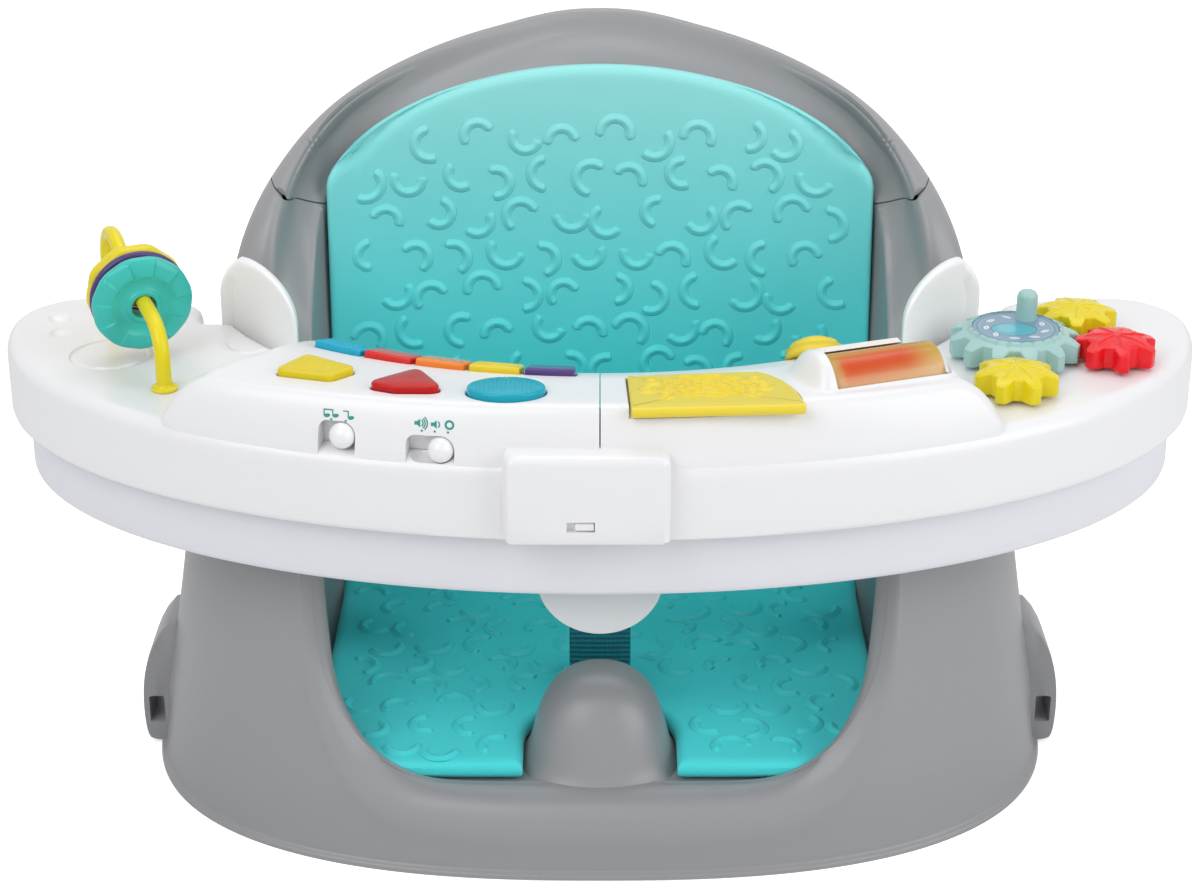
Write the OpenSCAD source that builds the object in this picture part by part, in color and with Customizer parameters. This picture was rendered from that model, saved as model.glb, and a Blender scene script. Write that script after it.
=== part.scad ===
// Baby floor seat with a feeding tray and a lift-off toy tray.
// X runs across the seat, Y from the front to the back, Z up. Millimetres.
// The origin lies on the floor, in the middle of the whole seat.

/* [Seat shell] */
// Width of the shell across its foot
base_w = 407; // [396:1:412]
// Depth of the shell along the floor
base_d = 285; // [278:1:290]
// Wall of the moulded shell
shell_wall = 3; // [2.4:0.1:3.6]
// Height of the arms, where the tray rests
arm_h = 152; // [150:0.5:154]
// Height of the top of the backrest
back_h = 311; // [304:1:316]
// Height of the seat pan
pan_h = 32; // [28:1:36]
// Inside width of the bucket at the back
bucket_w = 256; // [250:1:258]
// Inside width of the leg opening
leg_w = 236; // [230:1:240]

/* [Pommel and strap loops] */
// Width of the pommel between the legs
pommel_w = 58; // [52:1:62]
// Height of the pommel above the floor
pommel_h = 84; // [78:1:88]
// Width of the chair-strap loop across the seat
loop_w = 23; // [22:0.5:26]
// Height of the slot in the chair-strap loop
loop_slot_h = 12; // [10:0.5:14]

/* [Liner] */
// Thickness of the foam liner
liner_t = 9; // [7:0.5:10]
// Gap between the liner and the shell
liner_gap = 0.5; // [0.4:0.1:0.8]
// Radius of the liner's front corners
liner_r = 46; // [38:1:50]

/* [Harness] */
// Width of the webbing
web_w = 27; // [24:1:30]
// Thickness of the webbing
web_t = 1.8; // [1.4:0.1:2.2]

/* [Feeding tray] */
// Wall of both trays
tray_wall = 2.6; // [2.2:0.1:3]
// Height of the feeding tray's skirt
skirt_h = 27; // [24:0.5:29]
// How far the feeding tray stands inside the toy tray's rim
tray_step = 7.5; // [6:0.5:9]
// Radius of the round top of the ears
ear_r = 17.8; // [16:0.2:18]
// Thickness of the ears
ear_t = 5.6; // [4.5:0.1:6]
// Radius of the half-round release paddle
paddle_r = 26; // [22:1:28]

/* [Toy tray] */
// Width of the toy tray
tray_w = 524; // [518:1:526]
// Height of the toy tray's rim
rim_h = 33; // [31:0.5:35]
// Radius of the belly opening
belly_r = 187; // [184:1:190]
// Height of the consoles above the deck at the front
console_h = 21; // [20:0.25:22]
// Width of the front clip
clip_w = 66; // [58:1:70]

/* [Bead wire] */
// Diameter of the bead wire
wire_d = 6.5; // [5.5:0.5:7]
// Outer radius of the largest bead ring
ring_r = 21.5; // [19:0.5:22]
// Bore radius of the bead rings
ring_bore = 5.2; // [4.5:0.1:5.6]

/* [Gears] */
// Distance from the big gear to each small gear
gear_gap = 42.5; // [42:0.25:43]
// Outer radius of the big gear
gear_big_r = 28; // [27:0.25:28]
// Outer radius of the small gears
gear_small_r = 17.6; // [17:0.2:17.6]
// Thickness of the small gears
gear_t = 11; // [9:0.5:12]
// Radius of the gear posts
post_r = 4; // [3:0.25:5]
// Running clearance of the gears on their posts, on the radius
post_gap = 0.08; // [0.05:0.01:0.1]

/* [Keys, flap and roller] */
// Gap round each key
key_gap = 0.5; // [0.4:0.05:0.7]
// How far the keys stand above the console
key_h = 3; // [2:0.25:4]
// How far a key travels
key_travel = 2; // [1:0.25:2]
// Radius of the switch knobs
knob_r = 5.7; // [5:0.25:5.7]
// Thickness of the flap door
flap_t = 3.4; // [3:0.2:4]
// Radius of the roller
roller_r = 14; // [13:0.25:15]
// Length of the roller
roller_l = 42; // [38:1:44]
// Radius of the ridged knob
dial_r = 13; // [11.5:0.5:13.5]

/* [Hidden] */
$fn = 64;

GREY = [0.55, 0.55, 0.56];
TURQUOISE = [0.25, 0.78, 0.76];
WEBBING = [0.03, 0.33, 0.37];
WHITE = [0.95, 0.95, 0.96];
YELLOW = [0.96, 0.85, 0.10];
RED = [0.86, 0.12, 0.14];
PURPLE = [0.32, 0.18, 0.50];
BLUE = [0.05, 0.50, 0.68];
ORANGE = [0.93, 0.45, 0.12];
SAGE = [0.52, 0.71, 0.69];
AMBER = [0.93, 0.62, 0.18];
STEEL = [0.72, 0.73, 0.75];
BLACK = [0.12, 0.12, 0.13];

// ---- general functions -------------------------------------------------

function ease(t) = let(u = max(0, min(1, t))) u * u * (3 - 2 * u);
function mix(a, b, t) = a + (b - a) * t;
function signed_pow(v, p) = sign(v) * pow(abs(v), p);
// Slope of a curve through points at point i, level at both ends
function slope(p, i) = i == 0 || i == len(p) - 1 ? 0
    : (p[i + 1][1] - p[i - 1][1]) / (p[i + 1][0] - p[i - 1][0]);
// Index of the stretch of points p that holds x
function stretch(p, x) =
    max([0, for (i = [0 : len(p) - 2]) if (p[i][0] <= x) i]);
// Smooth curve through points [x, y], read at x
function curve(p, x) = let(i = stretch(p, x), w = p[i + 1][0] - p[i][0],
    t = max(0, min(1, (x - p[i][0]) / w)), a = p[i][1], b = p[i + 1][1])
    a * (1 + 2 * t) * (1 - t) * (1 - t) + b * t * t * (3 - 2 * t)
    + slope(p, i) * w * t * (1 - t) * (1 - t)
    - slope(p, i + 1) * w * t * t * (1 - t);

// Faces of a closed skin over m rings of n points, ends capped flat
function skin_faces(m, n) = concat(
    [[for (j = [0 : n - 1]) n - 1 - j]],
    [[for (j = [0 : n - 1]) (m - 1) * n + j]],
    [for (i = [0 : m - 2]) for (j = [0 : n - 1]) for (h = [0, 1])
        let(a = i * n + j, b = i * n + (j + 1) % n)
        h == 0 ? [a, b, b + n] : [a, b + n, a + n]]);
// Solid through rings of points, each ring counter-clockwise from above,
// the lowest ring first
module skin(rings) {
    polyhedron([for (r = rings) for (p = r) p],
        [for (f = skin_faces(len(rings), len(rings[0])))
            [for (k = [len(f) - 1 : -1 : 0]) f[k]]], convexity = 10);
}
// A free-form moulding, kept as one mesh
module moulded() {
    resize([0, 0, 0]) difference() {
        children();
        translate([0, 0, -900]) cube(1);
    }
}
// Box given by its lowest and highest corners
module block(a, b) {
    translate(a) cube(b - a);
}
// Plate with round corners in plan, by its half sizes
module round_plate(hx, hy, h, r) {
    linear_extrude(h) {
        square([2 * hx - 2 * r, 2 * hy], center = true);
        square([2 * hx, 2 * hy - 2 * r], center = true);
        for (x = [-1, 1]) for (y = [-1, 1])
            translate([x * (hx - r), y * (hy - r)]) circle(r);
    }
}

// ---- seat shell --------------------------------------------------------

seat_y = 7.5;
side_draft = 0.175;
back_draft = 0.074;
round_n = 2.5;
eye_y = -10;
bucket_back = 79;
bucket_lean = 0.073;
lean_from = 60;
// Angles round the shell, closer where the rim climbs
half_turn = [0, 7, 14, 20, 25, 29.5, 33, 35, 37, 40, 46, 55, 65, 75, 83.5, 88.5,
    90.5, 93, 96, 99, 103, 109, 116, 126, 136, 146, 155, 164, 172];
turn = concat(half_turn, [180], [for (i = [len(half_turn) - 1 : -1 : 1])
    360 - half_turn[i]]);
lip_h = pan_h + 2;
leg_h = arm_h - lip_h;
wing_h = back_h - arm_h;
// Height of the outer rim: leg opening, arm, wing and arch
rim_curve = [[0, lip_h], [14, lip_h], [20, lip_h + 3], [25, lip_h + 13],
    [30, lip_h + 32], [33, lip_h + 52], [35, lip_h + 80],
    [36.5, lip_h + 105], [38, arm_h - 2], [42, arm_h], [88, arm_h],
    [90.5, arm_h], for (q = [[93, 0.0566], [96, 0.2264], [100, 0.4277],
        [105, 0.5346], [115, 0.6415], [130, 0.761], [150, 0.8805],
        [165, 0.9497], [180, 1]]) [q[0], arm_h + q[1] * wing_h]];
// How far the inner edge of the rim lies under the outer one
drop_curve = [[0, 0.6], [40, 1], [88, 1], [93, 6], [96, 22], [100, 36],
    [108, 38], [115, 30], [130, 24], [150, 20], [165, 18], [180, 17]];
// Radius of the outer roll of the rim, along and down
roll_curve = [[0, 20], [20, 17], [32, 9], [37, 5.5], [45, 12], [88, 13],
    [96, 15], [115, 13], [135, 10], [160, 14], [180, 15]];
fall_curve = [[0, 27], [20, 24], [30, 16], [38, 8], [45, 12], [88, 13],
    [96, 16], [180, 17]];
function half(t) = t > 180 ? 360 - t : t;
// Point of the outer wall at turn t and height z, drawn in by d
function wall_at(t, z, d = 0) = let(s = sin(t), c = cos(t),
    a = base_w / 2 - side_draft * z - d,
    b = base_d / 2 - (c > 0 ? side_draft : back_draft) * z - d)
    [a * signed_pow(s, 2 / round_n), seat_y - b * signed_pow(c, 2 / round_n)];
// Distance from the eye to the bucket's wall along direction f
function bucket_at(f, z, d = 0) = let(s = abs(sin(f)), c = cos(f),
    a = mix(leg_w, bucket_w, ease(abs(f) / 110)) / 2 + 0.01 * z + d,
    front = base_d / 2 - seat_y - 26 - side_draft * 0.9 * (z - pan_h) + eye_y,
    back = bucket_back + bucket_lean * (z - lean_from) - eye_y,
    b = (c > 0 ? front : back) + d, n = 7)
    pow(pow(s / a, n) + pow(abs(c) / b, n), -1 / n);
// One profile of the shell at turn t, from the floor over the rim to the pan
function profile(t, d = 0) = let(h = half(t),
    top = curve(rim_curve, h) - d,
    ro = max(curve(roll_curve, h) - d * 0.6, 1.5),
    fo = min(max(curve(fall_curve, h) - d * 0.6, 1.5), top - 4),
    o = wall_at(t, top - fo, d), f = atan2(o[0], eye_y - o[1]),
    dir = [sin(f), -cos(f)], out = norm(o - [0, eye_y]),
    edge = max(top - curve(drop_curve, h), pan_h - d + 0.4),
    ri = min(8, (edge - pan_h + d) * 0.4),
    fr = min(11, (edge - pan_h + d) * 0.45),
    lip = min(bucket_at(f, edge, d), out - ro - 1.2),
    low = min(bucket_at(f, pan_h, d), out - ro - 1.2),
    at = function(r, z) [dir[0] * r, eye_y + dir[1] * r, z],
    on = function(z) let(w = wall_at(t, z, d)) [w[0], w[1], z])
    [on(d > 0 ? -1 : 0), on((top - fo) * 0.12), on((top - fo) * 0.5),
     on(top - fo), at(out - ro * 0.12, top - fo * 0.5),
     at(out - ro * 0.45, top - fo * 0.14), at(out - ro, top),
     at(mix(out - ro, lip + ri, 0.6), mix(top, edge, 0.55)),
     at(lip + ri * 0.4, edge), at(lip, edge - ri * 0.6),
     at(mix(lip, low, 0.5), mix(edge - ri, pan_h - d + fr, 0.5)),
     at(low, pan_h - d + fr), at(low - fr * 0.3, pan_h - d + fr * 0.3),
     at(low - fr, pan_h - d)];
module shell_solid(d = 0) {
    rows = [for (t = turn) profile(t, d)];
    m = len(rows[0]);
    skin([for (i = [0 : m - 1]) [for (r = rows) r[i]]]);
}
pommel_y = -86;
pommel_depth = 27;
pommel_levels = [0, 0.25, 0.5, 0.7, 0.85, 0.95, 1];
// Dome of the pommel: nearly straight sides and a round head
module pommel_solid(d = 0) {
    n = 28;
    rise = pommel_h - pan_h + 6;
    skin([for (l = pommel_levels) let(k = pow(1 - pow(l, 2.6), 1 / 2.2),
        flare = 1 + 0.1 * pow(1 - l, 3))
        [for (i = [0 : n - 1]) let(a = 360 * i / n)
            [max((pommel_w / 2 - d) * k * flare, 0.6)
                * signed_pow(cos(a), 0.85),
             pommel_y + 4 * l
                + max((pommel_depth - d) * mix(k, 1, 0.12) * flare, 0.6)
                * signed_pow(sin(a), 0.85),
             pan_h - 6 - (d > 0 ? 2 : 0) + l * (rise - d)]]]);
}
loop_y = -5;
loop_half = 15;
loop_slot_z = 16;
loop_slot_w = 6.4;
// Side loop that a chair strap is threaded through
module strap_loop(s) {
    x1 = base_w / 2 + 5;
    translate([0, loop_y + loop_half, 0]) rotate([90, 0, 0])
        linear_extrude(2 * loop_half) polygon([
            [s * (x1 - loop_w), 0], [s * (x1 - 3), 0], [s * x1, 6],
            [s * (x1 + 1), 20], [s * x1, 42], [s * (x1 - 4), 60],
            [s * (x1 - 13), 76], [s * (x1 - loop_w), 76]]);
}
module strap_slot(s) {
    x1 = base_w / 2 + 3;
    block([s > 0 ? x1 - loop_slot_w : -x1, loop_y - loop_half - 20,
           loop_slot_z],
          [s > 0 ? x1 : -x1 + loop_slot_w, loop_y + loop_half + 20,
           loop_slot_z + loop_slot_h]);
}
foot_spots = [[-1, -92, 128], [1, -92, 128], [-1, 112, 128], [1, 112, 128]];
foot_r = 9;
foot_stem = 3.5;
seam_z = arm_h + 94 / 159 * (back_h - arm_h);
// Area above the seam between the shell and its upper back, seen from the
// front, with the S-shaped ends
module seam_area(lift) {
    translate([0, 200, 0]) rotate([90, 0, 0]) linear_extrude(400)
        polygon([for (p = [[-230, 10], [-158, 5], [-150, 2], [-143, -6],
            [-134, -13], [-124, -16], [124, -16], [134, -13], [143, -6],
            [150, 2], [158, 5], [230, 10], [230, 120], [-230, 120]])
            [p[0], seam_z + p[1] + lift]]);
}
seam_gap = 0.6;
crotch_y = -47;
slot_w = web_w + 3;
module seat_shell() {
    difference() {
        union() {
            shell_solid();
            pommel_solid();
            for (s = [-1, 1]) strap_loop(s);
        }
        difference() {
            union() {
                shell_solid(shell_wall);
                pommel_solid(shell_wall);
            }
            // lugs that carry the feet, inside the foot of the shell
            for (p = foot_spots) translate([p[0] * p[2], p[1], 3])
                cylinder(h = 4, r = foot_r + 9);
        }
        for (s = [-1, 1]) strap_slot(s);
        for (p = foot_spots) translate([p[0] * p[2], p[1], -1])
            cylinder(h = 20, r = foot_stem + 0.1, $fn = 24);
        // slots for the crotch strap and the waist straps
        block([-slot_w / 2, crotch_y - 2.5, pan_h - 12],
              [slot_w / 2, crotch_y + 2.5, pan_h + 12]);
        for (s = [-1, 1])
            block([s > 0 ? 108 : -150, waist_y - slot_w / 2, waist_z - 2.5],
                  [s > 0 ? 150 : -108, waist_y + slot_w / 2, waist_z + 6.5]);
    }
}
waist_y = 22;
waist_z = 86;
module seat_base() {
    color(GREY) moulded() difference() {
        seat_shell();
        seam_area(-seam_gap / 2);
    }
}
tongue_x = 60;
tongue_half = 8;
// Back wall of the shell at x and height z, drawn in by d
function back_y(x, z, d) = let(a = base_w / 2 - side_draft * z - d,
    b = base_d / 2 - back_draft * z - d)
    seat_y + b * pow(1 - pow(x / a, round_n), 1 / round_n);
module upper_back() {
    inner = back_y(tongue_x + tongue_half, seam_z + 14, shell_wall);
    color(GREY) moulded() {
        intersection() {
            seat_shell();
            seam_area(seam_gap / 2);
        }
        // tongues that plug down behind the back wall of the lower shell
        for (s = [-1, 1]) {
            block([s * tongue_x - tongue_half, inner - 4, seam_z - 40],
                  [s * tongue_x + tongue_half, inner - 0.8, seam_z + 2]);
            block([s * tongue_x - tongue_half, inner - 4, seam_z + 1],
                  [s * tongue_x + tongue_half, inner + 1.4, seam_z + 12]);
        }
    }
}
module rubber_feet() {
    color(BLACK) for (p = foot_spots) translate([p[0] * p[2], p[1], 0]) {
        cylinder(h = 3, r1 = foot_r - 0.8, r2 = foot_r);
        translate([0, 0, 3]) cylinder(h = 4.2, r = foot_stem);
        translate([0, 0, 7]) cylinder(h = 2, r1 = foot_stem + 1,
            r2 = foot_stem);
    }
}

// ---- liner -------------------------------------------------------------

liner_top = back_h - 20;
liner_corner = liner_top - 41;
liner_side = bucket_w / 2 - 3;
seat_side = leg_w / 2 + 2;
liner_front = -108;
liner_z = pan_h + liner_gap;
bend_r = 30;
function back_face(z) = bucket_back - liner_gap
    + bucket_lean * (z - lean_from);
bend_y = back_face(liner_z + bend_r);
// Stations of the liner's underside, from the top of the back to the front:
// [kind, share], kind 0 the back, 1 the bend, 2 the seat
liner_rows = concat([for (v = [1, 0.985, 0.95, 0.9, 0.8, 0.6, 0.4, 0.2, 0.06])
    [0, v]], [for (v = [0 : 5]) [1, v / 5]],
    [for (v = [0.2, 0.45, 0.65, 0.78, 0.87, 0.94, 0.98, 1]) [2, v]]);
liner_cols = [-1, -0.985, -0.93, -0.8, -0.6, -0.35, -0.12,
    0.12, 0.35, 0.6, 0.8, 0.93, 0.985, 1];
// Half width at a station: round top corners, round front corners
function liner_half(r) = r[0] == 0
    ? liner_side - 14 * (1 - sqrt(1 - pow(max(0, r[1] - 0.93) / 0.07, 2)))
    : r[0] == 1 ? mix(liner_side, seat_side, ease(r[1]))
    : let(y = mix(bend_y - bend_r, liner_front, r[1]),
          k = max(0, liner_front + liner_r - y) / liner_r)
      seat_side - liner_r * (1 - sqrt(1 - min(1, k * k))) * 0.92;
// How far the sides of the back come forward
function dish(u, v) = (4 * u * u + 12 * pow(abs(u), 9)) * ease(v * 3);
// Point of the liner at column u and station r, h above its underside
function liner_point(u, r, h) = let(x = u * liner_half(r))
    r[0] == 0 ? let(top = liner_top - (liner_top - liner_corner)
            * (1 - sqrt(1 - pow(0.93 * u, 2))) * 1.5,
            z = mix(liner_z + bend_r, top, r[1]))
        [x, back_face(z) - dish(u, r[1]) - h, z]
    : r[0] == 1 ? let(a = 90 * r[1])
        [x, bend_y - bend_r + (bend_r - h) * cos(a),
         liner_z + bend_r - (bend_r - h) * sin(a)]
    : [x, mix(bend_y - bend_r, liner_front, r[1]), liner_z + h];
// Thickness: full in the middle, thinning to a round edge
function liner_rise(i, j) = let(m = len(liner_rows) - 1,
    n = len(liner_cols) - 1, e = min(i, m - i, j, n - j))
    e == 0 ? 0.5 * liner_t : e == 1 ? 0.86 * liner_t : liner_t;
function liner_sink(i, j) = let(m = len(liner_rows) - 1,
    n = len(liner_cols) - 1, e = min(i, m - i, j, n - j))
    e == 0 ? 0.3 * liner_t : 0;
module liner_slab() {
    m = len(liner_rows);
    n = len(liner_cols);
    face = [for (i = [0 : m - 1]) for (j = [0 : n - 1])
        liner_point(liner_cols[j], liner_rows[i], liner_rise(i, j))];
    under = [for (i = [0 : m - 1]) for (j = [0 : n - 1])
        liner_point(liner_cols[j], liner_rows[i], liner_sink(i, j))];
    k = m * n;
    edge = concat([for (j = [0 : n - 2]) j],
        [for (i = [0 : m - 2]) i * n + n - 1],
        [for (j = [n - 1 : -1 : 1]) (m - 1) * n + j],
        [for (i = [m - 1 : -1 : 1]) i * n]);
    polyhedron(concat(face, under), concat(
        [for (i = [0 : m - 2]) for (j = [0 : n - 2]) for (h = [0, 1])
            let(a = i * n + j) h == 0 ? [a, a + 1, a + n + 1]
                : [a, a + n + 1, a + n]],
        [for (i = [0 : m - 2]) for (j = [0 : n - 2]) for (h = [0, 1])
            let(a = k + i * n + j) h == 0 ? [a, a + n + 1, a + 1]
                : [a, a + n, a + n + 1]],
        [for (q = [0 : len(edge) - 1]) for (h = [0, 1])
            let(a = edge[q], b = edge[(q + 1) % len(edge)])
            h == 0 ? [a, b + k, b] : [a, a + k, b + k]]), convexity = 8);
}
notch_side = pommel_w / 2 + 7;
notch_back = pommel_y + pommel_depth + 8;
module seat_liner() {
    color(TURQUOISE) moulded() difference() {
        liner_slab();
        shell_solid(-liner_gap);
        // notch round the pommel, open to the front
        translate([0, notch_back - notch_side, 0]) linear_extrude(90) {
            circle(notch_side, $fn = 32);
            translate([-notch_side, -90]) square([2 * notch_side, 90]);
        }
        // slot of the crotch strap
        block([-slot_w / 2, crotch_y - 2.5, 0],
              [slot_w / 2, crotch_y + 2.5, 90]);
    }
}

// ---- harness -----------------------------------------------------------

buckle_c = [0, -14, 118];
buckle_h = 34;
// Webbing swept along points in the plane square to its width
module ribbon(points, w) {
    n = len(points);
    dirs = [for (i = [0 : n - 1]) let(a = points[max(i - 1, 0)],
        b = points[min(i + 1, n - 1)], d = b - a) [-d[1], d[0]] / norm(d)];
    linear_extrude(w, center = true) polygon(concat(
        [for (i = [0 : n - 1]) points[i] + dirs[i] * web_t / 2],
        [for (i = [n - 1 : -1 : 0]) points[i] - dirs[i] * web_t / 2]));
}
anchor_z = pan_h - shell_wall - 4;
module crotch_strap() {
    color(WEBBING) rotate([90, 0, 90]) ribbon([
        [crotch_y, anchor_z - 2], [crotch_y, pan_h + 10],
        [crotch_y + 4, 68], [crotch_y + 16, 84],
        [buckle_c[1] - 4, buckle_c[2] - buckle_h / 2 - 6],
        [buckle_c[1], buckle_c[2] - buckle_h / 2 + 4]], web_w);
}
waist_in = bucket_w / 2 + 12;
// Route of the left waist strap in plan, from its anchor to the buckle
waist_route = [[-waist_in, waist_y], [-waist_in + 18, waist_y],
    [-104, waist_y - 2], [-92, waist_y - 14], [-74, buckle_c[1] - 1],
    [-54, buckle_c[1] - 2], [-36, buckle_c[1]]];
module waist_strap_left() {
    color(WEBBING) waist_strap();
}
module waist_strap_right() {
    color(WEBBING) mirror([1, 0, 0]) waist_strap();
}
module waist_strap() {
    // the webbing lies flat in its slot, so it is turned about its route
    n = len(waist_route);
    function lift(i) = mix(waist_z, buckle_c[2], ease((i - 1) / (n - 2)));
    function lean(i) = 90 * ease((i - 1) / (n - 3));
    rings = [for (i = [0 : n - 1]) let(a = waist_route[max(i - 1, 0)],
        b = waist_route[min(i + 1, n - 1)], d = (b - a) / norm(b - a),
        side = [-d[1], d[0], 0], up = [0, 0, 1],
        wide = side * cos(lean(i)) + up * sin(lean(i)),
        thin = up * cos(lean(i)) - side * sin(lean(i)),
        p = [waist_route[i][0], waist_route[i][1], lift(i)])
        [for (c = [[-1, -1], [1, -1], [1, 1], [-1, 1]])
            p + wide * c[0] * web_w / 2 + thin * c[1] * web_t / 2]];
    resize([0, 0, 0]) difference() {
        polyhedron([for (r = rings) for (p = [3 : -1 : 0]) r[p]],
            skin_faces(n, 4), convexity = 6);
        translate([0, 0, -900]) cube(1);
    }
}
module harness_buckle() {
    color(BLACK) translate(buckle_c) difference() {
        rotate([90, 0, 0]) translate([0, 0, -6])
            round_plate(22, buckle_h / 2, 12, 9);
        // mouths that take the two tongues and the crotch strap
        for (s = [-1, 1]) block([s > 0 ? 12 : -30, -3.4, -9],
                                [s > 0 ? 30 : -12, 3.4, 9]);
        block([-web_w / 2 - 1, -3, -30], [web_w / 2 + 1, 3, -12]);
        translate([0, -8.2, 0]) rotate([90, 0, 0])
            cylinder(h = 6, r = 7, center = true);
    }
}
module buckle_tongues() {
    color(BLACK) for (s = [-1, 1]) translate(buckle_c) mirror([s < 0 ? 1 : 0,
        0, 0]) difference() {
        union() {
            block([13, -2.6, -8], [24, 2.6, 8]);
            translate([31, 0, 0]) rotate([90, 0, 0])
                translate([0, 0, -3.5]) round_plate(8, 17, 7, 3);
        }
        block([30, -1.6, -14.5], [50, 1.6, 14.5]);
    }
}
anchor_in = bucket_w / 2 + 0.01 * (waist_z + 9) + shell_wall + 0.1;
module strap_anchors() {
    color(BLACK) {
        // bar under the pan, and a bar outside each side wall
        difference() {
            block([-slot_w / 2 - 6, crotch_y - 6, anchor_z - 3],
                  [slot_w / 2 + 6, crotch_y + 6, pan_h - shell_wall]);
            block([-slot_w / 2, crotch_y - web_t / 2 - 0.2, anchor_z - 2.2],
                  [slot_w / 2, crotch_y + web_t / 2 + 0.2, pan_h + 1]);
        }
        for (s = [-1, 1]) mirror([s < 0 ? 1 : 0, 0, 0]) difference() {
            block([anchor_in, waist_y - slot_w / 2 - 5, waist_z - 6],
                  [anchor_in + 7, waist_y + slot_w / 2 + 5, waist_z + 9]);
            block([anchor_in - 1, waist_y - web_w / 2 - 0.3,
                   waist_z - web_t / 2 - 0.2],
                  [waist_in + 0.3, waist_y + web_w / 2 + 0.3,
                   waist_z + web_t / 2 + 0.6]);
        }
    }
}

// ---- trays -------------------------------------------------------------

tray_z = arm_h + 10;
deck_z = tray_z + rim_h;
tray_y = 16;
tray_b = 159;
belly_y = 109;
horn_x = 230;
horn_y = 49;
// Outline of a tray drawn in by d, counter-clockwise seen from above
function tray_right(d, belly, back) = let(a = tray_w / 2 - d, b = tray_b - d)
    concat(
    // the front, from the middle to the widest point
    [for (t = [0 : 6 : 90]) [a * sin(t), tray_y - b * cos(t)]],
    // the round end of the horn
    [for (t = [18 : 18 : 90]) [horn_x + (tray_w / 2 - horn_x - d) * cos(t),
        tray_y + (horn_y - tray_y - d) * sin(t)]],
    // the back edge and the corner at the belly opening
    [[wing_x + 12 + d, horn_y - 8 - d], [wing_x + 3 + d, horn_y - 11 - d],
     [wing_x + d, horn_y - 17 - d], [wing_x + d, back - d + 9],
     [wing_x - 3 + d, back - d + 1]],
    // the belly arc back to the middle
    [for (i = [0 : 14]) let(e = acos((belly_y - back + d) / belly),
        f = e * (1 - i / 14)) [belly * sin(f), belly_y - belly * cos(f)]]);
// The trays pass outside the wings of the seat from here back
wing_x = base_w / 2 - side_draft * (arm_h + 6) + 2.5;
belly_top = 6;
function tray_line(d, belly, back) = let(r = tray_right(d, belly, back),
    n = len(r))
    concat([for (i = [0 : n - 1]) r[i]],
           [for (i = [n - 2 : -1 : 1]) [-r[i][0], r[i][1]]]);
function at_z(line, z) = [for (p = line) [p[0], p[1], z]];
// Solid tray blank through layers [draw-in, height]
module tray_blank(layers, belly, back = belly_top + 10) {
    skin([for (l = layers) at_z(tray_line(l[0], belly + l[0], back), l[1])]);
}

plate_z = arm_h + 0.3;
feed_top = tray_z - 0.3;
skirt_z = feed_top - skirt_h;
feed_belly = belly_r - 8;
module feeding_tray() {
    color(WHITE) moulded() difference() {
        union() {
            difference() {
                tray_blank([[tray_step + 1.5, skirt_z], [tray_step, skirt_z + 2],
                    [tray_step, feed_top - 1.5], [tray_step + 1, feed_top]],
                    feed_belly - tray_step, belly_top);
                // the dish on top
                tray_blank([[tray_step + 6, plate_z + tray_wall],
                    [tray_step + tray_wall + 1, feed_top + 1]],
                    feed_belly - tray_step, belly_top);
                // the hollow underneath
                tray_blank([[tray_step + tray_wall, skirt_z - 1],
                    [tray_step + tray_wall, plate_z]],
                    feed_belly - tray_step, belly_top);
            }
            // bosses of the release paddle's pin
            for (s = [-1, 1]) block([s * (paddle_r - 8) - 3, paddle_y - 6,
                pin_z - 5], [s * (paddle_r - 8) + 3, paddle_y + 6,
                plate_z + 0.5]);
            // tongue that shows in the window of the toy tray's clip
            block([-tongue_w / 2 - 6.5, tongue_y, feed_top - 6],
                  [tongue_w / 2 - 6.5, tongue_y + 2.4, clip_window_z + 4]);
            block([-tongue_w / 2 - 6.5, tongue_y - 3.2, clip_window_z + 1],
                  [tongue_w / 2 - 6.5, tongue_y + 1, clip_window_z + 4]);
        }
        for (s = [-1, 1]) {
            // feet of the ears, and the dish wall where an ear stands
            intersection() {
                block([s * (ear_x - 6.5) - 6.2, -60, plate_z - 1],
                      [s * (ear_x - 6.5) + 6.2, 40, plate_z + 6]);
                ear_ring(0.2);
            }
            intersection() {
                block([s * ear_x - ear_r - 0.3, -60, plate_z + tray_wall],
                      [s * ear_x + ear_r + 0.3, 40, feed_top + 3]);
                ear_ring(3.6);
            }
            // the arms of the seat, which the plate rests on
            mirror([s < 0 ? 1 : 0, 0, 0]) translate([0, 0, skirt_z - 1])
                linear_extrude(plate_z - skirt_z + 1) polygon([
                    [leg_w / 2 - 16, -102], [leg_w / 2 + 8, -99],
                    [150, -84], [wing_x + 7, -62], [wing_x + 7, 70],
                    [leg_w / 2 - 16, 70]]);
        }
        translate([-60, paddle_y, pin_z]) rotate([0, 90, 0])
            cylinder(h = 120, r = pin_r + 0.06, $fn = 24);
    }
}
tongue_w = 10;
tongue_y = tray_y - tray_b + tray_step + 0.3;
clip_window_z = tray_z + 8;
ear_x = 147.3;
ear_top = deck_z + 33.5;
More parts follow.
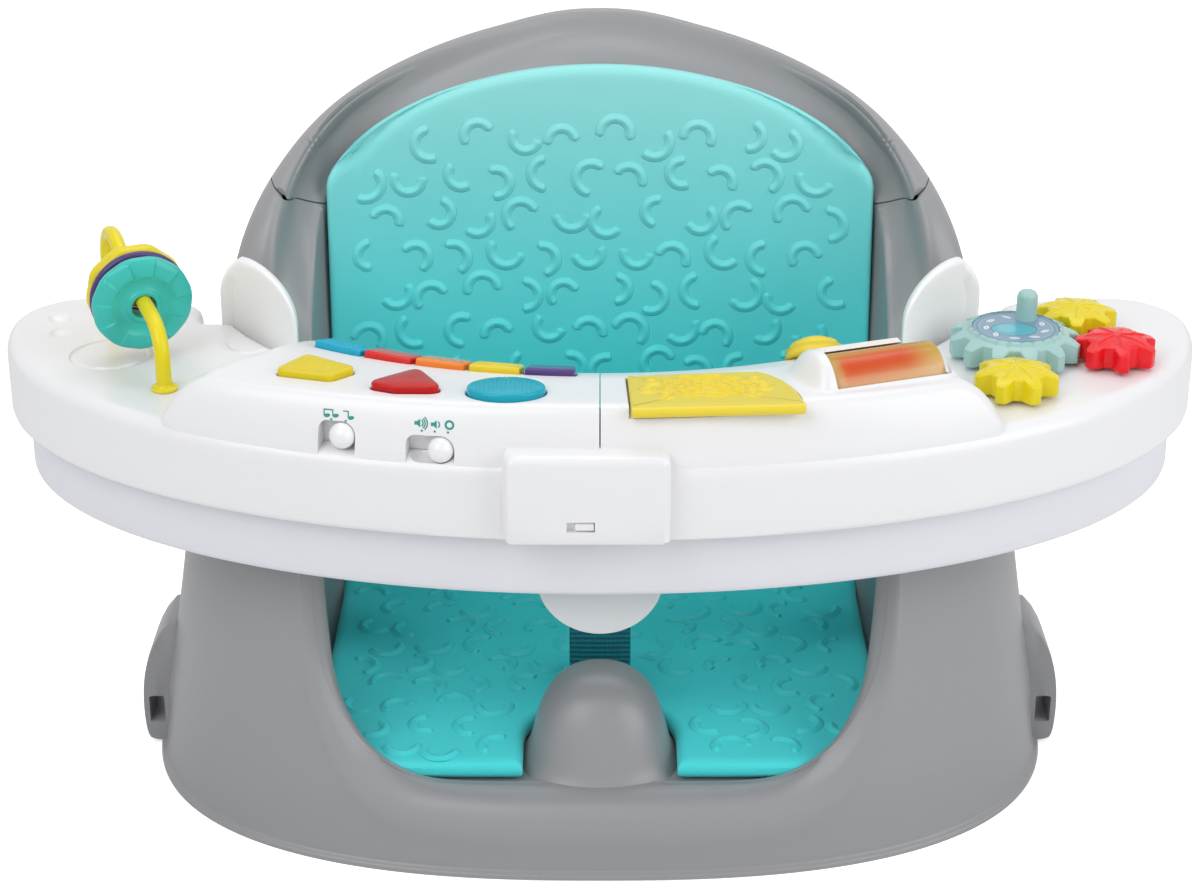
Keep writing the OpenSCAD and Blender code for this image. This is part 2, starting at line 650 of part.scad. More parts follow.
// Ring along the belly arc that holds the ears, widened by g
module ear_ring(g) {
    translate([0, belly_y, plate_z - 2]) difference() {
        cylinder(h = ear_top, r = belly_r - 1.3 + g, $fn = 192);
        translate([0, 0, -1]) cylinder(h = ear_top + 2,
            r = belly_r - 1.3 - ear_t - g, $fn = 192);
    }
}
module tray_ear() {
    // curved ear with a round head, on a foot that stands in the tray's plate
    head_z = ear_top - ear_r;
    intersection() {
        translate([0, 22.5, 0]) rotate([90, 0, 0]) linear_extrude(60) {
            translate([ear_x, head_z]) circle(ear_r);
            polygon([[ear_x - ear_r, head_z],
                [ear_x - ear_r, plate_z + tray_wall],
                [ear_x + 1, plate_z + tray_wall],
                [ear_x + 1, deck_z - 26],
                [ear_x + ear_r, deck_z - 7], [ear_x + ear_r, head_z]]);
            translate([ear_x - 12.5, plate_z + 0.2]) square([12, 10]);
        }
        ear_ring(0);
    }
}
module tray_ear_left() {
    color(WHITE) mirror([1, 0, 0]) tray_ear();
}
module tray_ear_right() {
    color(WHITE) tray_ear();
}
paddle_y = -116;
pin_z = plate_z - 8;
pin_r = 2;
module release_lever() {
    color(WHITE) difference() {
        union() {
            translate([0, paddle_y + 2, 0]) rotate([90, 0, 0])
                linear_extrude(4) intersection() {
                    translate([0, paddle_drop]) circle(paddle_r);
                    translate([-50, paddle_drop - 50]) square([100, 50]);
                }
            block([-12, paddle_y - 2, paddle_drop - 1],
                  [12, paddle_y + 2, pin_z]);
            translate([-12, paddle_y, pin_z]) rotate([0, 90, 0])
                cylinder(h = 24, r = 4);
        }
        translate([-13, paddle_y, pin_z]) rotate([0, 90, 0])
            cylinder(h = 26, r = pin_r + 0.06);
        block([-4.5, paddle_y - 6, pin_z - 7], [4.5, paddle_y + 6, pin_z + 6]);
    }
}
paddle_drop = plate_z - 18.3;
module release_pin() {
    color(STEEL) translate([-paddle_r + 5, paddle_y, pin_z])
        rotate([0, 90, 0]) cylinder(h = 2 * paddle_r - 10, r = pin_r);
}
module release_spring() {
    color(STEEL) translate([0, paddle_y, pin_z]) rotate([0, 90, 0])
        difference() {
            cylinder(h = 7, r = pin_r + 1.6, center = true);
            cylinder(h = 9, r = pin_r, center = true);
        }
}

// ---- toy tray ----------------------------------------------------------

floor_t = 2.4;
module toy_tray_shell() {
    color(WHITE) moulded() difference() {
        union() {
            difference() {
                tray_blank([[1.2, tray_z], [0, tray_z + 3],
                    [0, deck_z - 9], [0.8, deck_z - 5], [3, deck_z - 1.6],
                    [8, deck_z]], belly_r);
                tray_blank([[tray_wall + 1, tray_z - 1],
                    [tray_wall, tray_z + 4], [tray_wall, deck_z - 10],
                    [tray_wall + 6, deck_z - tray_wall]], belly_r);
            }
            for (p = screw_spots) translate([p[0], p[1], tray_z + floor_t])
                cylinder(h = rim_h - floor_t - 1, r = 4.5, $fn = 14);
        }
        for (p = screw_spots) translate([p[0], p[1], tray_z])
            cylinder(h = 16, r = 1.75, $fn = 8);
        // bays of the two slide switches
        for (w = [0, 1]) intersection() {
            switch_slot(w);
            block([-140, -150, deck_z - 8], [-30, -100, deck_z + 1]);
        }
        // hole behind the window of the clip
        block([-13, tray_y - tray_b - 4, clip_window_z],
              [0, tray_y - tray_b + 6, clip_window_z + 5]);
        // room for the underside of the roller
        roller_place() cylinder(h = roller_l + 1.2, r = roller_r + 0.8,
            center = true, $fn = 40);
        // dished rings pressed into the deck, and two dimples
        for (g = [[-210, -26, 18], [-152, -12, 13]])
            translate([g[0], g[1], deck_z - 1]) difference() {
                cylinder(h = 3, r = g[2], $fn = 28);
                cylinder(h = 3, r = g[2] - 3.4, $fn = 28);
            }
        for (g = [[-236, 0], [-240, 18]])
            translate([g[0], g[1], deck_z + 5]) sphere(8, $fn = 16);
    }
}
screw_x = tray_w / 2 - 37;
screw_spots = [[-screw_x, 20], [screw_x, 20], [20 - screw_x, -60],
               [screw_x - 20, -60], [-152, -58], [60, -100]];
module toy_tray_floor() {
    color(WHITE) moulded() difference() {
        tray_blank([[tray_wall + 1.6, tray_z],
            [tray_wall + 1.6, tray_z + floor_t]], belly_r);
        for (p = screw_spots) translate([p[0], p[1], tray_z - 1])
            cylinder(h = 6, r = 1.9, $fn = 8);
        battery_place() translate([0, 0, -1])
            round_plate(battery_w / 2, battery_l / 2, 6, 4);
        // notch for the catch tongue
        block([-13, tray_y - tray_b - 4, tray_z - 1],
              [0, tongue_y + 3.4, tray_z + 6]);
    }
}
module cover_screws() {
    color(STEEL) for (p = screw_spots) translate([p[0], p[1], tray_z]) {
        translate([0, 0, floor_t - 3.6]) cylinder(h = 1.2, r = 3, $fn = 20);
        translate([0, 0, floor_t - 3.6]) cylinder(h = 14, r = 1.5, $fn = 20);
    }
}
clip_x = -5.5;
clip_front = -150;
clip_wall = 3;
// Outer face of the toy tray's rim at x, drawn in by d
function rim_y(x, d = 0) = tray_y
    - (tray_b - d) * sqrt(1 - pow(x / (tray_w / 2 - d), 2));
module front_clip() {
    h0 = tray_z + 2;
    h1 = deck_z + 6;
    w = clip_w / 2;
    color(WHITE) moulded() difference() {
        // a shallow box standing on the rim, with a chamfer on its left
        skin([for (l = [[0.6, h0], [0, h0 + 1], [0, h1 - 3], [1, h1 - 0.8],
                [2.6, h1]])
            [for (p = [[-w - 4 + l[0], 12], [-w + 8, 0 + l[0]],
                [w - 2, 0 + l[0]], [w - l[0], 2 + l[0]], [w - l[0], 12]])
                [clip_x + p[0], clip_front + p[1], l[1]]]]);
        block([clip_x - w + 8, clip_front + clip_wall, h0 - 1],
              [clip_x + w - 6, clip_front + 20, h1 - 3]);
        // window over the catch tongue
        block([-13, clip_front - 1, clip_window_z],
              [0, clip_front + 6, clip_window_z + 5]);
        // seat on the curved rim
        tray_blank([[-0.3, tray_z - 4], [-0.3, deck_z + 20]], belly_r);
    }
}

// ---- consoles ----------------------------------------------------------

// Distance from the belly's centre to the tray's edge drawn in by d,
// at angle f from the front
function rim_reach(f, d) = let(s = sin(f) / (tray_w / 2 - d),
    c = cos(f) / (tray_b - d), q = (belly_y - tray_y) / (tray_b - d),
    k = s * s + c * c)
    (c * q + sqrt(c * c * q * q - k * (q * q - 1))) / k;
function polar(r, f) = [r * sin(f), belly_y - r * cos(f)];
console_tilt = 3.2;
top_y = -128;
function top_z(y) = deck_z + console_h - tan(console_tilt) * (y - top_y);
seam_f = 0.12;
inner_r = belly_r + 3.5;
// Plan of a console from angle f0 to f1, drawn in by d at the front wall,
// e at the belly side and g at its end
function console_line(f0, f1, d, e, g, r) = let(n = 14,
    a = f0, b = f1 - g / 2.3)
    concat([for (i = [0 : n]) let(f = mix(a, b, i / n),
            u = max(0, (i - n + 2) / 2))
        polar(rim_reach(f, d + r * u * u), f)],
        [for (i = [n : -1 : 0]) let(f = mix(a, b, i / n),
            u = max(0, (i - n + 2) / 2))
        polar(inner_r + e + r * u * u * 1.2, f)]);
// Console blank: straight at the seam, drafted walls, tilted top.
// step is [front draw-in, belly draw-in, end draw-in, height share]
module console_blank(f0, f1, steps, r) {
    skin([for (s = steps) [for (p = console_line(f0, f1, s[0], s[1], s[2], r))
        [p[0], p[1], mix(deck_z, top_z(p[1]), s[3]) + s[4]]]]);
}
foot_drop = 7;
wall_steps = [[1.2, -0.5, 0, 0, -foot_drop], [2.6, 0, 0, 0.06, 0],
    [4.6, 0.5, 2, 0.45, 0], [7, 1.5, 4, 0.76, 0], [8.8, 12.5, 6, 0.94, 0],
    [12, 18, 8, 1, 0]];
room_steps = [[1.2 + tray_wall, tray_wall, 3, 0, -foot_drop - 1],
    [7 + tray_wall, tray_wall + 1.5, 7, 0.76, -tray_wall],
    [14, 19.5, 10, 1, -tray_wall]];
music_end = 41.5;
play_end = 38;
// The rim and deck that a console is seated on
module deck_seat() {
    tray_blank([[-0.2, tray_z - 4], [-0.2, deck_z - 8.9],
        [0.6, deck_z - 4.8], [2.9, deck_z - 1.4], [7.9, deck_z + 0.2]],
        belly_r);
}
module on_top(x, y) {
    // frame on the console's top, Z square to it
    translate([x, y, top_z(y)]) rotate([-console_tilt, 0, 0]) children();
}
module music_console() {
    color(WHITE) moulded() difference() {
        mirror([1, 0, 0]) console_blank(seam_f, music_end, wall_steps, 7);
        mirror([1, 0, 0]) console_blank(seam_f + 0.7, music_end, room_steps,
            7);
        deck_seat();
        for (k = [0 : 4]) key_shape(k, -key_gap, 0, -20, 20);
        for (b = [0 : 2]) button_place(b) button_shape(b, -key_gap, -20, 20);
        for (w = [0, 1]) switch_slot(w);
    }
}
// boundaries of the five piano keys, in degrees from the front
key_edges = [35.5, 28.4, 21.8, 15.3, 8.8, 2.6];
key_web = 0.8;
key_in = inner_r + 3;
key_deep = 13;
key_mid = key_in + key_deep / 2;
key_tilt = 15;
function key_f(k) = (key_edges[k] + key_edges[k + 1]) / 2;
// Height of the sloping shoulder under the middle of key k
function key_z(k) = let(y = belly_y - key_mid * cos(key_f(k)))
    mix(deck_z, top_z(y), mix(0.76, 0.94, (key_mid - inner_r - 1.5) / 11))
    + 0.2;
// Frame of a key: Y towards the baby, Z square to the shoulder
module key_place(k) {
    translate([-key_mid * sin(key_f(k)), belly_y - key_mid * cos(key_f(k)),
        key_z(k)]) rotate([0, 0, -key_f(k)]) rotate([-key_tilt, 0, 0])
        children();
}
// One piano key, drawn in by g, and deeper by w at the front, between two
// heights over the shoulder
module key_shape(k, g, w, z0, z1) {
    n = 4;
    r0 = key_in + g + key_gap + (w > 0 ? 0.2 : 0);
    r1 = key_in + key_deep - g - key_gap + w;
    e = (key_edges[k] - key_edges[k + 1]) / 2
        - (g + key_web + (w > 0 ? 0.2 : 0)) / key_mid * 180 / PI;
    key_place(k) translate([0, 0, z0]) linear_extrude(z1 - z0)
        polygon(concat(
            [for (i = [0 : n]) let(f = mix(e, -e, i / n))
                [-r0 * sin(f), key_mid - r0 * cos(f)]],
            [for (i = [n : -1 : 0]) let(f = mix(e, -e, i / n))
                [-r1 * sin(f), key_mid - r1 * cos(f)]]));
}
button_c = [[-114.3, -92], [-77, -109], [-37, -117.4]];
module button_place(b) {
    on_top(button_c[b][0], button_c[b][1]) children();
}
// corners of the square and the triangle, about their centres
square_points = [[-17, -4.6], [6.8, -12.6], [16.6, -1.8], [-5.6, 15.4]];
triangle_points = [[-15.4, -3.4], [-4, -9], [14.6, -9.6], [3.8, 14]];
module button_outline(b) {
    if (b == 2) {
        scale([1.38, 1]) circle(11.3, $fn = 36);
    } else {
        hull() for (p = b == 0 ? square_points : triangle_points)
            translate(p * (1 - 3 / norm(p))) circle(3, $fn = 16);
    }
}
module button_shape(b, g, z0, z1) {
    translate([0, 0, z0]) linear_extrude(z1 - z0) offset(delta = -g)
        button_outline(b);
}
module key_body(k) {
    key_shape(k, 0, 0, -6, key_h);
    key_shape(k, 0, 1.6, -tray_wall - 3.6, -tray_wall - 2.3);
}
module key_blue() { color(BLUE) key_body(0); }
module key_red() { color(RED) key_body(1); }
module key_orange() { color(ORANGE) key_body(2); }
module key_yellow() { color(YELLOW) key_body(3); }
module key_purple() { color(PURPLE) key_body(4); }
module button_body(b) {
    button_place(b) {
        translate([0, 0, -6]) linear_extrude(6 + key_h) button_outline(b);
        translate([0, 0, -tray_wall - 3.6]) linear_extrude(1.3)
            intersection() {
                scale(1.08) button_outline(b);
                square([60, 16], center = true);
            }
    }
}
module button_square() { color(YELLOW) button_body(0); }
module button_triangle() { color(RED) button_body(1); }
module button_round() {
    color(TURQUOISE) {
        button_body(2);
        button_place(2) translate([0, 0, key_h - 0.5]) intersection() {
            translate([0, 0, -36]) sphere(39.2);
            linear_extrude(10) scale(0.96) button_outline(2);
        }
    }
}
// slide switches on the front wall: centre x, height, slot length, turn
switch_c = [[-101, deck_z + 5.6], [-62, deck_z + 3]];
switch_travel = [4, 8];
switch_turn = [14, 8.5];
function switch_y(w) = rim_y(switch_c[w][0], 6.4);
module switch_place(w) {
    translate([switch_c[w][0], switch_y(w), switch_c[w][1]])
        rotate([0, 0, -switch_turn[w]]) children();
}
// Slot in the front wall that a switch slides along
module switch_slot(w) {
    switch_place(w) rotate([90, 0, 0]) linear_extrude(24, center = true)
        hull() for (s = [-1, 1])
            translate([(s - 1) * switch_travel[w] / 2, 0])
                circle(knob_r + 0.5, $fn = 20);
}
module switch_body(w) {
    switch_place(w) {
        translate([0, -1.5, 0]) sphere(knob_r);
        translate([0, 9, 0]) rotate([90, 0, 0]) cylinder(h = 9, r = 2.4);
        block([-10, 7, -1.6], [10, 9, 8]);
    }
}
module note_switch() { color(WHITE) switch_body(0); }
module volume_switch() { color(WHITE) switch_body(1); }
board_z = -13.6;
module key_springs() {
    // a rubber dome under each key and button
    color(GREY) {
        for (k = [0 : 4]) let(c = polar(key_mid, key_f(k)))
            on_top(-c[0], c[1]) translate([0, 0, board_z])
                cylinder(h = 1.6, r1 = 4.6, r2 = 3.2, $fn = 24);
        for (b = [0 : 2]) button_place(b) translate([0, 0, board_z])
            cylinder(h = 4.6, r1 = 5, r2 = 3.4, $fn = 24);
    }
}
module circuit_board() {
    // thin board under the keys
    n = 8;
    color([0.1, 0.4, 0.2]) on_top(0, -100) translate([0, 100, board_z - 1.6])
        linear_extrude(1.6) polygon(concat(
            [for (i = [0 : n]) let(f = mix(4, 34, i / n), r = key_in + 1)
                [-r * sin(f), belly_y - r * cos(f)]],
            [for (i = [n : -1 : 0]) let(f = mix(4, 34, i / n),
                r = key_in + 39) [-r * sin(f), belly_y - r * cos(f)]]));
}

// ---- activity console --------------------------------------------------

flap_turn = 3.4;
hinge_c = [46, -134.5, deck_z + 19.2];
module flap_outline(g) {
    // straight front edge, curved right side, back edge along the belly
    polygon(concat([[-34 - g, -2], [34 + g, -2], [32.5 + g, 14]],
        [for (i = [0 : 4]) let(u = i / 4)
            [mix(30 + g, 20, u), mix(24, 39.5 + g, u)]],
        [[-10, 38.5 + g], [-33 - g, 37 + g]]));
}
module flap_place() {
    translate(hinge_c) rotate([0, 0, flap_turn]) rotate([-console_tilt, 0, 0])
        children();
}
module flap_door() {
    color(YELLOW) flap_place() difference() {
        union() {
            translate([0, 0, -flap_t + 3]) linear_extrude(flap_t) difference() {
                flap_outline(0);
                translate([-60, -20]) square([120, 20.5]);
            }
            translate([-31, 0, 0]) rotate([0, 90, 0])
                cylinder(h = 62, r = 3);
        }
        translate([-40, 0, 0]) rotate([0, 90, 0]) cylinder(h = 80, r = 1.56);
    }
}
module flap_pin() {
    color(STEEL) flap_place() translate([-36, 0, 0]) rotate([0, 90, 0])
        cylinder(h = 72, r = 1.5);
}
roller_c = [113.5, -91.4, deck_z + 14.4];
roller_turn = 20;
module roller_place() {
    translate(roller_c) rotate([0, 0, roller_turn]) rotate([0, 90, 0])
        children();
}
axle_r = 2.5;
module roller() {
    color(AMBER) roller_place() difference() {
        cylinder(h = roller_l, r = roller_r, center = true);
        difference() {
            cylinder(h = roller_l - 5, r = roller_r - 2.4, center = true);
            cylinder(h = roller_l, r = axle_r + 2.1, center = true);
        }
        cylinder(h = roller_l + 2, r = axle_r + 0.06, center = true);
    }
}
module roller_beads() {
    color(RED) roller_place() for (i = [0 : 7]) rotate([0, 0, 45 * i + 20])
        translate([roller_r - 2.4 - 3.05, 0, (i % 4 - 1.5) * 9])
            sphere(3, $fn = 20);
}
module roller_axle() {
    color(STEEL) roller_place() cylinder(h = roller_l + 9, r = axle_r,
        center = true);
}
dial_c = [89.3, -66, deck_z + 11.5];
dial_tilt = 40;
module dial_place() {
    translate(dial_c) rotate([0, 0, 6]) rotate([-dial_tilt, 0, 0]) children();
}
module click_knob() {
    color(YELLOW) dial_place() difference() {
        union() {
            translate([0, 0, 3]) cylinder(h = 5, r = dial_r);
            translate([0, 0, 8]) intersection() {
                cylinder(h = 4, r = dial_r);
                translate([0, 0, -22]) sphere(25.5);
            }
            for (i = [-2 : 2]) translate([-dial_r * 0.7, i * 4.2 - 0.9, 7])
                cube([dial_r * 1.4, 1.8, 4.6]);
        }
        translate([0, 0, -1]) cylinder(h = 8, r = 3.06);
    }
}
module activity_console() {
    color(WHITE) moulded() difference() {
        union() {
            console_blank(seam_f, play_end, wall_steps, 9);
            // swelling round the roller
            intersection() {
                roller_place() cylinder(h = roller_l + 16, r = roller_r + 2.6,
                    center = true, $fn = 40);
                block([60, -160, deck_z + 0.3], [160, -40, 240]);
            }
        }
        console_blank(seam_f + 0.7, play_end, room_steps, 9);
        deck_seat();
        // pocket of the roller
        roller_place() cylinder(h = roller_l + 1.2, r = roller_r + 0.8,
            center = true, $fn = 40);
        roller_place() cylinder(h = roller_l + 11, r = axle_r + 0.02,
            center = true, $fn = 24);
        // window over the roller, from the front round over its top
        roller_place() linear_extrude(roller_l + 1.2, center = true)
            polygon(concat([[0, 0]], [for (a = [20, 45, 70, 95, 118])
                -34 * [sin(a), cos(a)]]));
        // recess under the flap, with room for its knuckle
        flap_place() translate([0, 0, -5]) linear_extrude(30)
            flap_outline(0.6);
        flap_place() translate([-31.6, 0, 0]) rotate([0, 90, 0])
            cylinder(h = 63.2, r = 3.6, $fn = 24);
        flap_place() translate([-36.4, 0, 0]) rotate([0, 90, 0])
            cylinder(h = 72.8, r = 1.52, $fn = 24);
        // face of the ridged knob
        dial_place() translate([0, 0, 2.4]) cylinder(h = 30, r = dial_r + 1,
            $fn = 40);
    }
}

// ---- gears -------------------------------------------------------------

big_c = [177.5, -27.8];
big_teeth = 12;
small_teeth = 7;
gear_float = 0.4;
gear_dirs = [-97.5, -9.7, 43];
big_turn = 6;
gear_z = deck_z + 1.2 + gear_float;
function gear_c(i) = big_c + gear_gap * [cos(gear_dirs[i]),
    sin(gear_dirs[i])];
// Turn of small gear i that puts a gap opposite the big gear's tooth
function gear_turn(i) = let(d = gear_dirs[i],
    share = (big_turn - d) * big_teeth / 360)
    d + 180 + (0.5 - share) * 360 / small_teeth;
module star(n, root, tip, wide, narrow) {
    polygon([for (k = [0 : n - 1]) for (q = [[-0.5, root], [-wide, root],
        [-narrow, tip - 0.5], [0, tip], [narrow, tip - 0.5], [wide, root]])
        let(a = (k + q[0]) * 360 / n) q[1] * [cos(a), sin(a)]]);
}
small_root = gear_gap - gear_big_r - 1.3;
big_root = gear_gap - gear_small_r - 1.3;
module small_gear(i) {
    c = gear_c(i);
    translate([c[0], c[1], gear_z]) difference() {
        rotate(gear_turn(i)) {
            linear_extrude(gear_t - 2)
                star(small_teeth, small_root, gear_small_r, 0.27, 0.1);
            translate([0, 0, gear_t - 2]) linear_extrude(1)
                star(small_teeth, small_root - 1, gear_small_r - 1.2, 0.25,
                    0.09);
            translate([0, 0, gear_t - 1]) cylinder(h = 1.2, r = 8.5);
        }
        translate([0, 0, -1]) cylinder(h = gear_t - 1.5,
            r = post_r + post_gap);
    }
}
module gear_front() { color(YELLOW) small_gear(0); }
module gear_right() { color(RED) small_gear(1); }
module gear_back() { color(YELLOW) small_gear(2); }
big_h = gear_t + 1.6;
label_r = 18.5;
module big_gear() {
    color(SAGE) translate([big_c[0], big_c[1], gear_z]) difference() {
        union() {
            rotate(big_turn) linear_extrude(big_h - 2)
                star(big_teeth, big_root, gear_big_r, 0.28, 0.1);
            rotate(big_turn) translate([0, 0, big_h - 2]) linear_extrude(1)
                star(big_teeth, big_root - 1, gear_big_r - 1.4, 0.26, 0.09);
            translate([0, 0, big_h - 1]) cylinder(h = 1.6, r = label_r + 1.6);
            translate([crank[0], crank[1], big_h - 1])
                cylinder(h = 12, r = 4.5);
            translate([crank[0], crank[1], big_h + 11])
                cylinder(h = 1.4, r1 = 4.5, r2 = 3);
        }
        translate([0, 0, -1]) cylinder(h = big_h - 2, r = post_r + post_gap);
        difference() {
            translate([0, 0, big_h - 0.4]) cylinder(h = 3, r = label_r);
            translate([crank[0], crank[1], big_h - 2])
                cylinder(h = 20, r = 4.5);
        }
    }
}
crank = [6, 10.5];
module gear_label() {
    color([0.55, 0.68, 0.75]) translate([big_c[0], big_c[1],
        gear_z + big_h - 0.4]) difference() {
        cylinder(h = 0.6, r = label_r - 0.2);
        translate([crank[0], crank[1], -1]) cylinder(h = 3, r = 4.7);
    }
}
module gear_posts() {
    color(WHITE) {
        for (i = [0 : 2]) let(c = gear_c(i)) translate([c[0], c[1], deck_z]) {
            cylinder(h = 1.2, r = 7);
            cylinder(h = gear_t - 2, r = post_r);
        }
        translate([big_c[0], big_c[1], deck_z]) {
            cylinder(h = 1.2, r = 12);
            cylinder(h = big_h - 3, r = post_r);
        }
    }
}

// ---- bead wire ---------------------------------------------------------

wire_turn = 113;
wire_foot = [-181, -65, deck_z];
// Profile of the wire in its own upright plane: distance, height
wire_route = [[0, 0], [0, 8], [0, 15], [2.4, 21], [7.6, 25.4], [14, 27.4],
    [24, 28.8], [34, 30.2], [44, 31.6], [54, 33], [61, 35.4], [67, 39],
    [74, 42], [81, 42.6], [88, 40], [92, 34], [93.6, 26], [94, 16],
    [94, 8], [94, 0]];
run_tilt = 8;
run_mid = [39, 30.9];
module wire_place() {
    translate(wire_foot) rotate([0, 0, wire_turn]) children();
}
module bead_wire() {
    n = len(wire_route);
    k = 8;
    rings = [for (i = [0 : n - 1]) let(a = wire_route[max(i - 1, 0)],
        b = wire_route[min(i + 1, n - 1)], d = (b - a) / norm(b - a),
        p = wire_route[i])
        [for (j = [0 : k - 1]) let(t = 360 * j / k + 22.5,
            q = wire_d / 2 * [cos(t), sin(t)])
            [p[0] - d[1] * q[0], q[1], p[1] + d[0] * q[0]]]];
    color(YELLOW) {
        wire_place() polyhedron([for (r = rings) for (p = r) p],
            skin_faces(n, k));
        for (x = [0, 94]) wire_place() translate([x, 0, 0]) difference() {
            cylinder(h = 1.6, r = 5.6);
            cylinder(h = 9, r = 2.2, center = true);
        }
    }
}
// Rings hang on the straight run, so their centres lie below the wire
module ring_place(along) {
    wire_place() translate([run_mid[0], 0, run_mid[1]])
        rotate([0, 90 - run_tilt, 0])
            translate([ring_bore - wire_d / 2 - 0.15, 0, along]) children();
}
module bead_ring(r, w, edge) {
    rotate_extrude() polygon([[ring_bore, -w / 2 + 1], [ring_bore + 1,
        -w / 2], [r - edge, -w / 2], [r, -w / 2 + edge], [r, w / 2 - edge],
        [r - edge, w / 2], [ring_bore + 1, w / 2], [ring_bore, w / 2 - 1]]);
}
module bead_ring_turquoise() {
    color(TURQUOISE) ring_place(-9) bead_ring(ring_r, 8, 2);
}
module bead_ring_purple() {
    color(PURPLE) ring_place(-2.6) bead_ring(ring_r - 0.5, 4, 1.4);
}
module bead_ring_yellow() {
    color(YELLOW) ring_place(4.2) bead_ring(ring_r - 0.5, 8.4, 2.4);
}

// ---- inside the toy tray ----------------------------------------------

battery_f = 29;
battery_w = 56;
battery_l = 49;
module battery_place() {
    c = polar(221, battery_f);
    translate([-c[0], c[1], tray_z]) rotate(-battery_f) children();
}
module batteries() {
    color(STEEL) battery_place() for (i = [-1 : 1])
        translate([-22.6, i * 14.8, floor_t + 7.3]) rotate([0, 90, 0]) {
            cylinder(h = 44, r = 7);
            translate([0, 0, 44]) cylinder(h = 1.2, r = 2.6);
        }
}
module battery_door() {
    color(WHITE) battery_place() difference() {
        round_plate(battery_w / 2 - 0.3, battery_l / 2 - 0.3, floor_t, 3.7);
        translate([battery_w / 2 - 4.5, 0, -1]) cylinder(h = 6, r = 1.8);
    }
}
module battery_door_screw() {
    color(STEEL) battery_place() translate([battery_w / 2 - 4.5, 0, -1.2]) {
        cylinder(h = 1.2, r = 3, $fn = 20);
        cylinder(h = 6, r = 1.5, $fn = 20);
    }
}
module speaker() {
    color(BLACK) translate([-30, -108, tray_z + floor_t]) {
        cylinder(h = 4, r = 14);
        cylinder(h = 7, r = 8);
    }
}

seat_base();
upper_back();
seat_liner();
rubber_feet();
crotch_strap();
waist_strap_left();
waist_strap_right();
harness_buckle();
buckle_tongues();
strap_anchors();
feeding_tray();
tray_ear_left();
tray_ear_right();
release_pin();
release_spring();
release_lever();
toy_tray_shell();
toy_tray_floor();
music_console();
activity_console();
front_clip();
cover_screws();
bead_wire();
bead_ring_yellow();
bead_ring_purple();
bead_ring_turquoise();
gear_posts();
big_gear();
gear_label();
gear_front();
gear_right();
gear_back();
roller();
roller_beads();
roller_axle();
flap_door();
flap_pin();
click_knob();
key_blue();
key_red();
key_orange();
key_yellow();
key_purple();
button_square();
button_triangle();
button_round();
note_switch();
volume_switch();
key_springs();
circuit_board();
speaker();
batteries();
battery_door();
battery_door_screw();
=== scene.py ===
"""Baby floor seat with a foam liner, a feeding tray and a lift-off toy tray.

Each section below makes one piece of the seat, in the order in which the seat
is put together. Sizes are written in millimetres and meshes are in metres.
"""
import math

import bmesh
import bpy
import numpy as np
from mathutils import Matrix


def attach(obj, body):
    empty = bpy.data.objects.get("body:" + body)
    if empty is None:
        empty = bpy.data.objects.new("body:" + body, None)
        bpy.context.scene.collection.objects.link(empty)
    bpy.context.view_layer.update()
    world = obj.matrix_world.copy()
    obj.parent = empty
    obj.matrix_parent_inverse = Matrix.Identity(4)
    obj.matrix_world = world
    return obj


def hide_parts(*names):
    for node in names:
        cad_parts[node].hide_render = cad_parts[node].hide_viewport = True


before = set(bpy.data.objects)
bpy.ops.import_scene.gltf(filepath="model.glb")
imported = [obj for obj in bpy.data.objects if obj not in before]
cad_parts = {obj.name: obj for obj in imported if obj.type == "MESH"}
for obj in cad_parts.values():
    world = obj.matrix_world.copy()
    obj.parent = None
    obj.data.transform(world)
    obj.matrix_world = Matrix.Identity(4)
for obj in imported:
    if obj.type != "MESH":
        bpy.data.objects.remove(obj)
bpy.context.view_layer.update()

# ---------------------------------------------------------------------------
# Studio: a white sweep of floor, one large soft light over the left shoulder,
# weaker ones on the right and above, and a camera a little above the trays.
# ---------------------------------------------------------------------------
scene = bpy.context.scene
scene.view_settings.view_transform = "Standard"
camera_data = bpy.data.cameras.new("camera")
camera_data.lens = 78
camera_data.sensor_width = 36
camera_data.clip_end = 50
camera = bpy.data.objects.new("camera", camera_data)
camera.location = (0, -1.0643, 0.6084)
camera.rotation_euler = (math.radians(90 - 23.6), 0, 0)
scene.collection.objects.link(camera)
scene.camera = camera


def soft_light(name, place, target, size, watts):
    """Square soft light at place that faces target."""
    data = bpy.data.lights.new(name, "AREA")
    data.shape, data.size, data.energy = "SQUARE", size, watts
    lamp = bpy.data.objects.new(name, data)
    lamp.location = place
    x, y, z = np.array(target) - np.array(place)
    lamp.rotation_euler = (math.atan2(math.hypot(x, y), -z), 0, math.atan2(-x, y))
    scene.collection.objects.link(lamp)


soft_light("key_light", (-0.9, -1.1, 1.5), (0, 0, 0.15), 1.3, 14.5)
soft_light("fill_light", (1.3, -0.8, 0.9), (0, 0, 0.15), 1.2, 10)
soft_light("top_light", (0, 0.5, 1.7), (0, 0, 0.2), 1.2, 7.6)


def add_node(tree, kind, **values):
    """Shader node of a kind, with plain values on the inputs that are named."""
    made = tree.nodes.new("ShaderNode" + kind)
    for socket, value in values.items():
        made.inputs[socket.replace("_", " ")].default_value = value
    return made


def join(tree, *links):
    """Links that each run from a node's output to a node's input."""
    for start, output, end, socket in links:
        tree.links.new(start.outputs[output], end.inputs[socket])


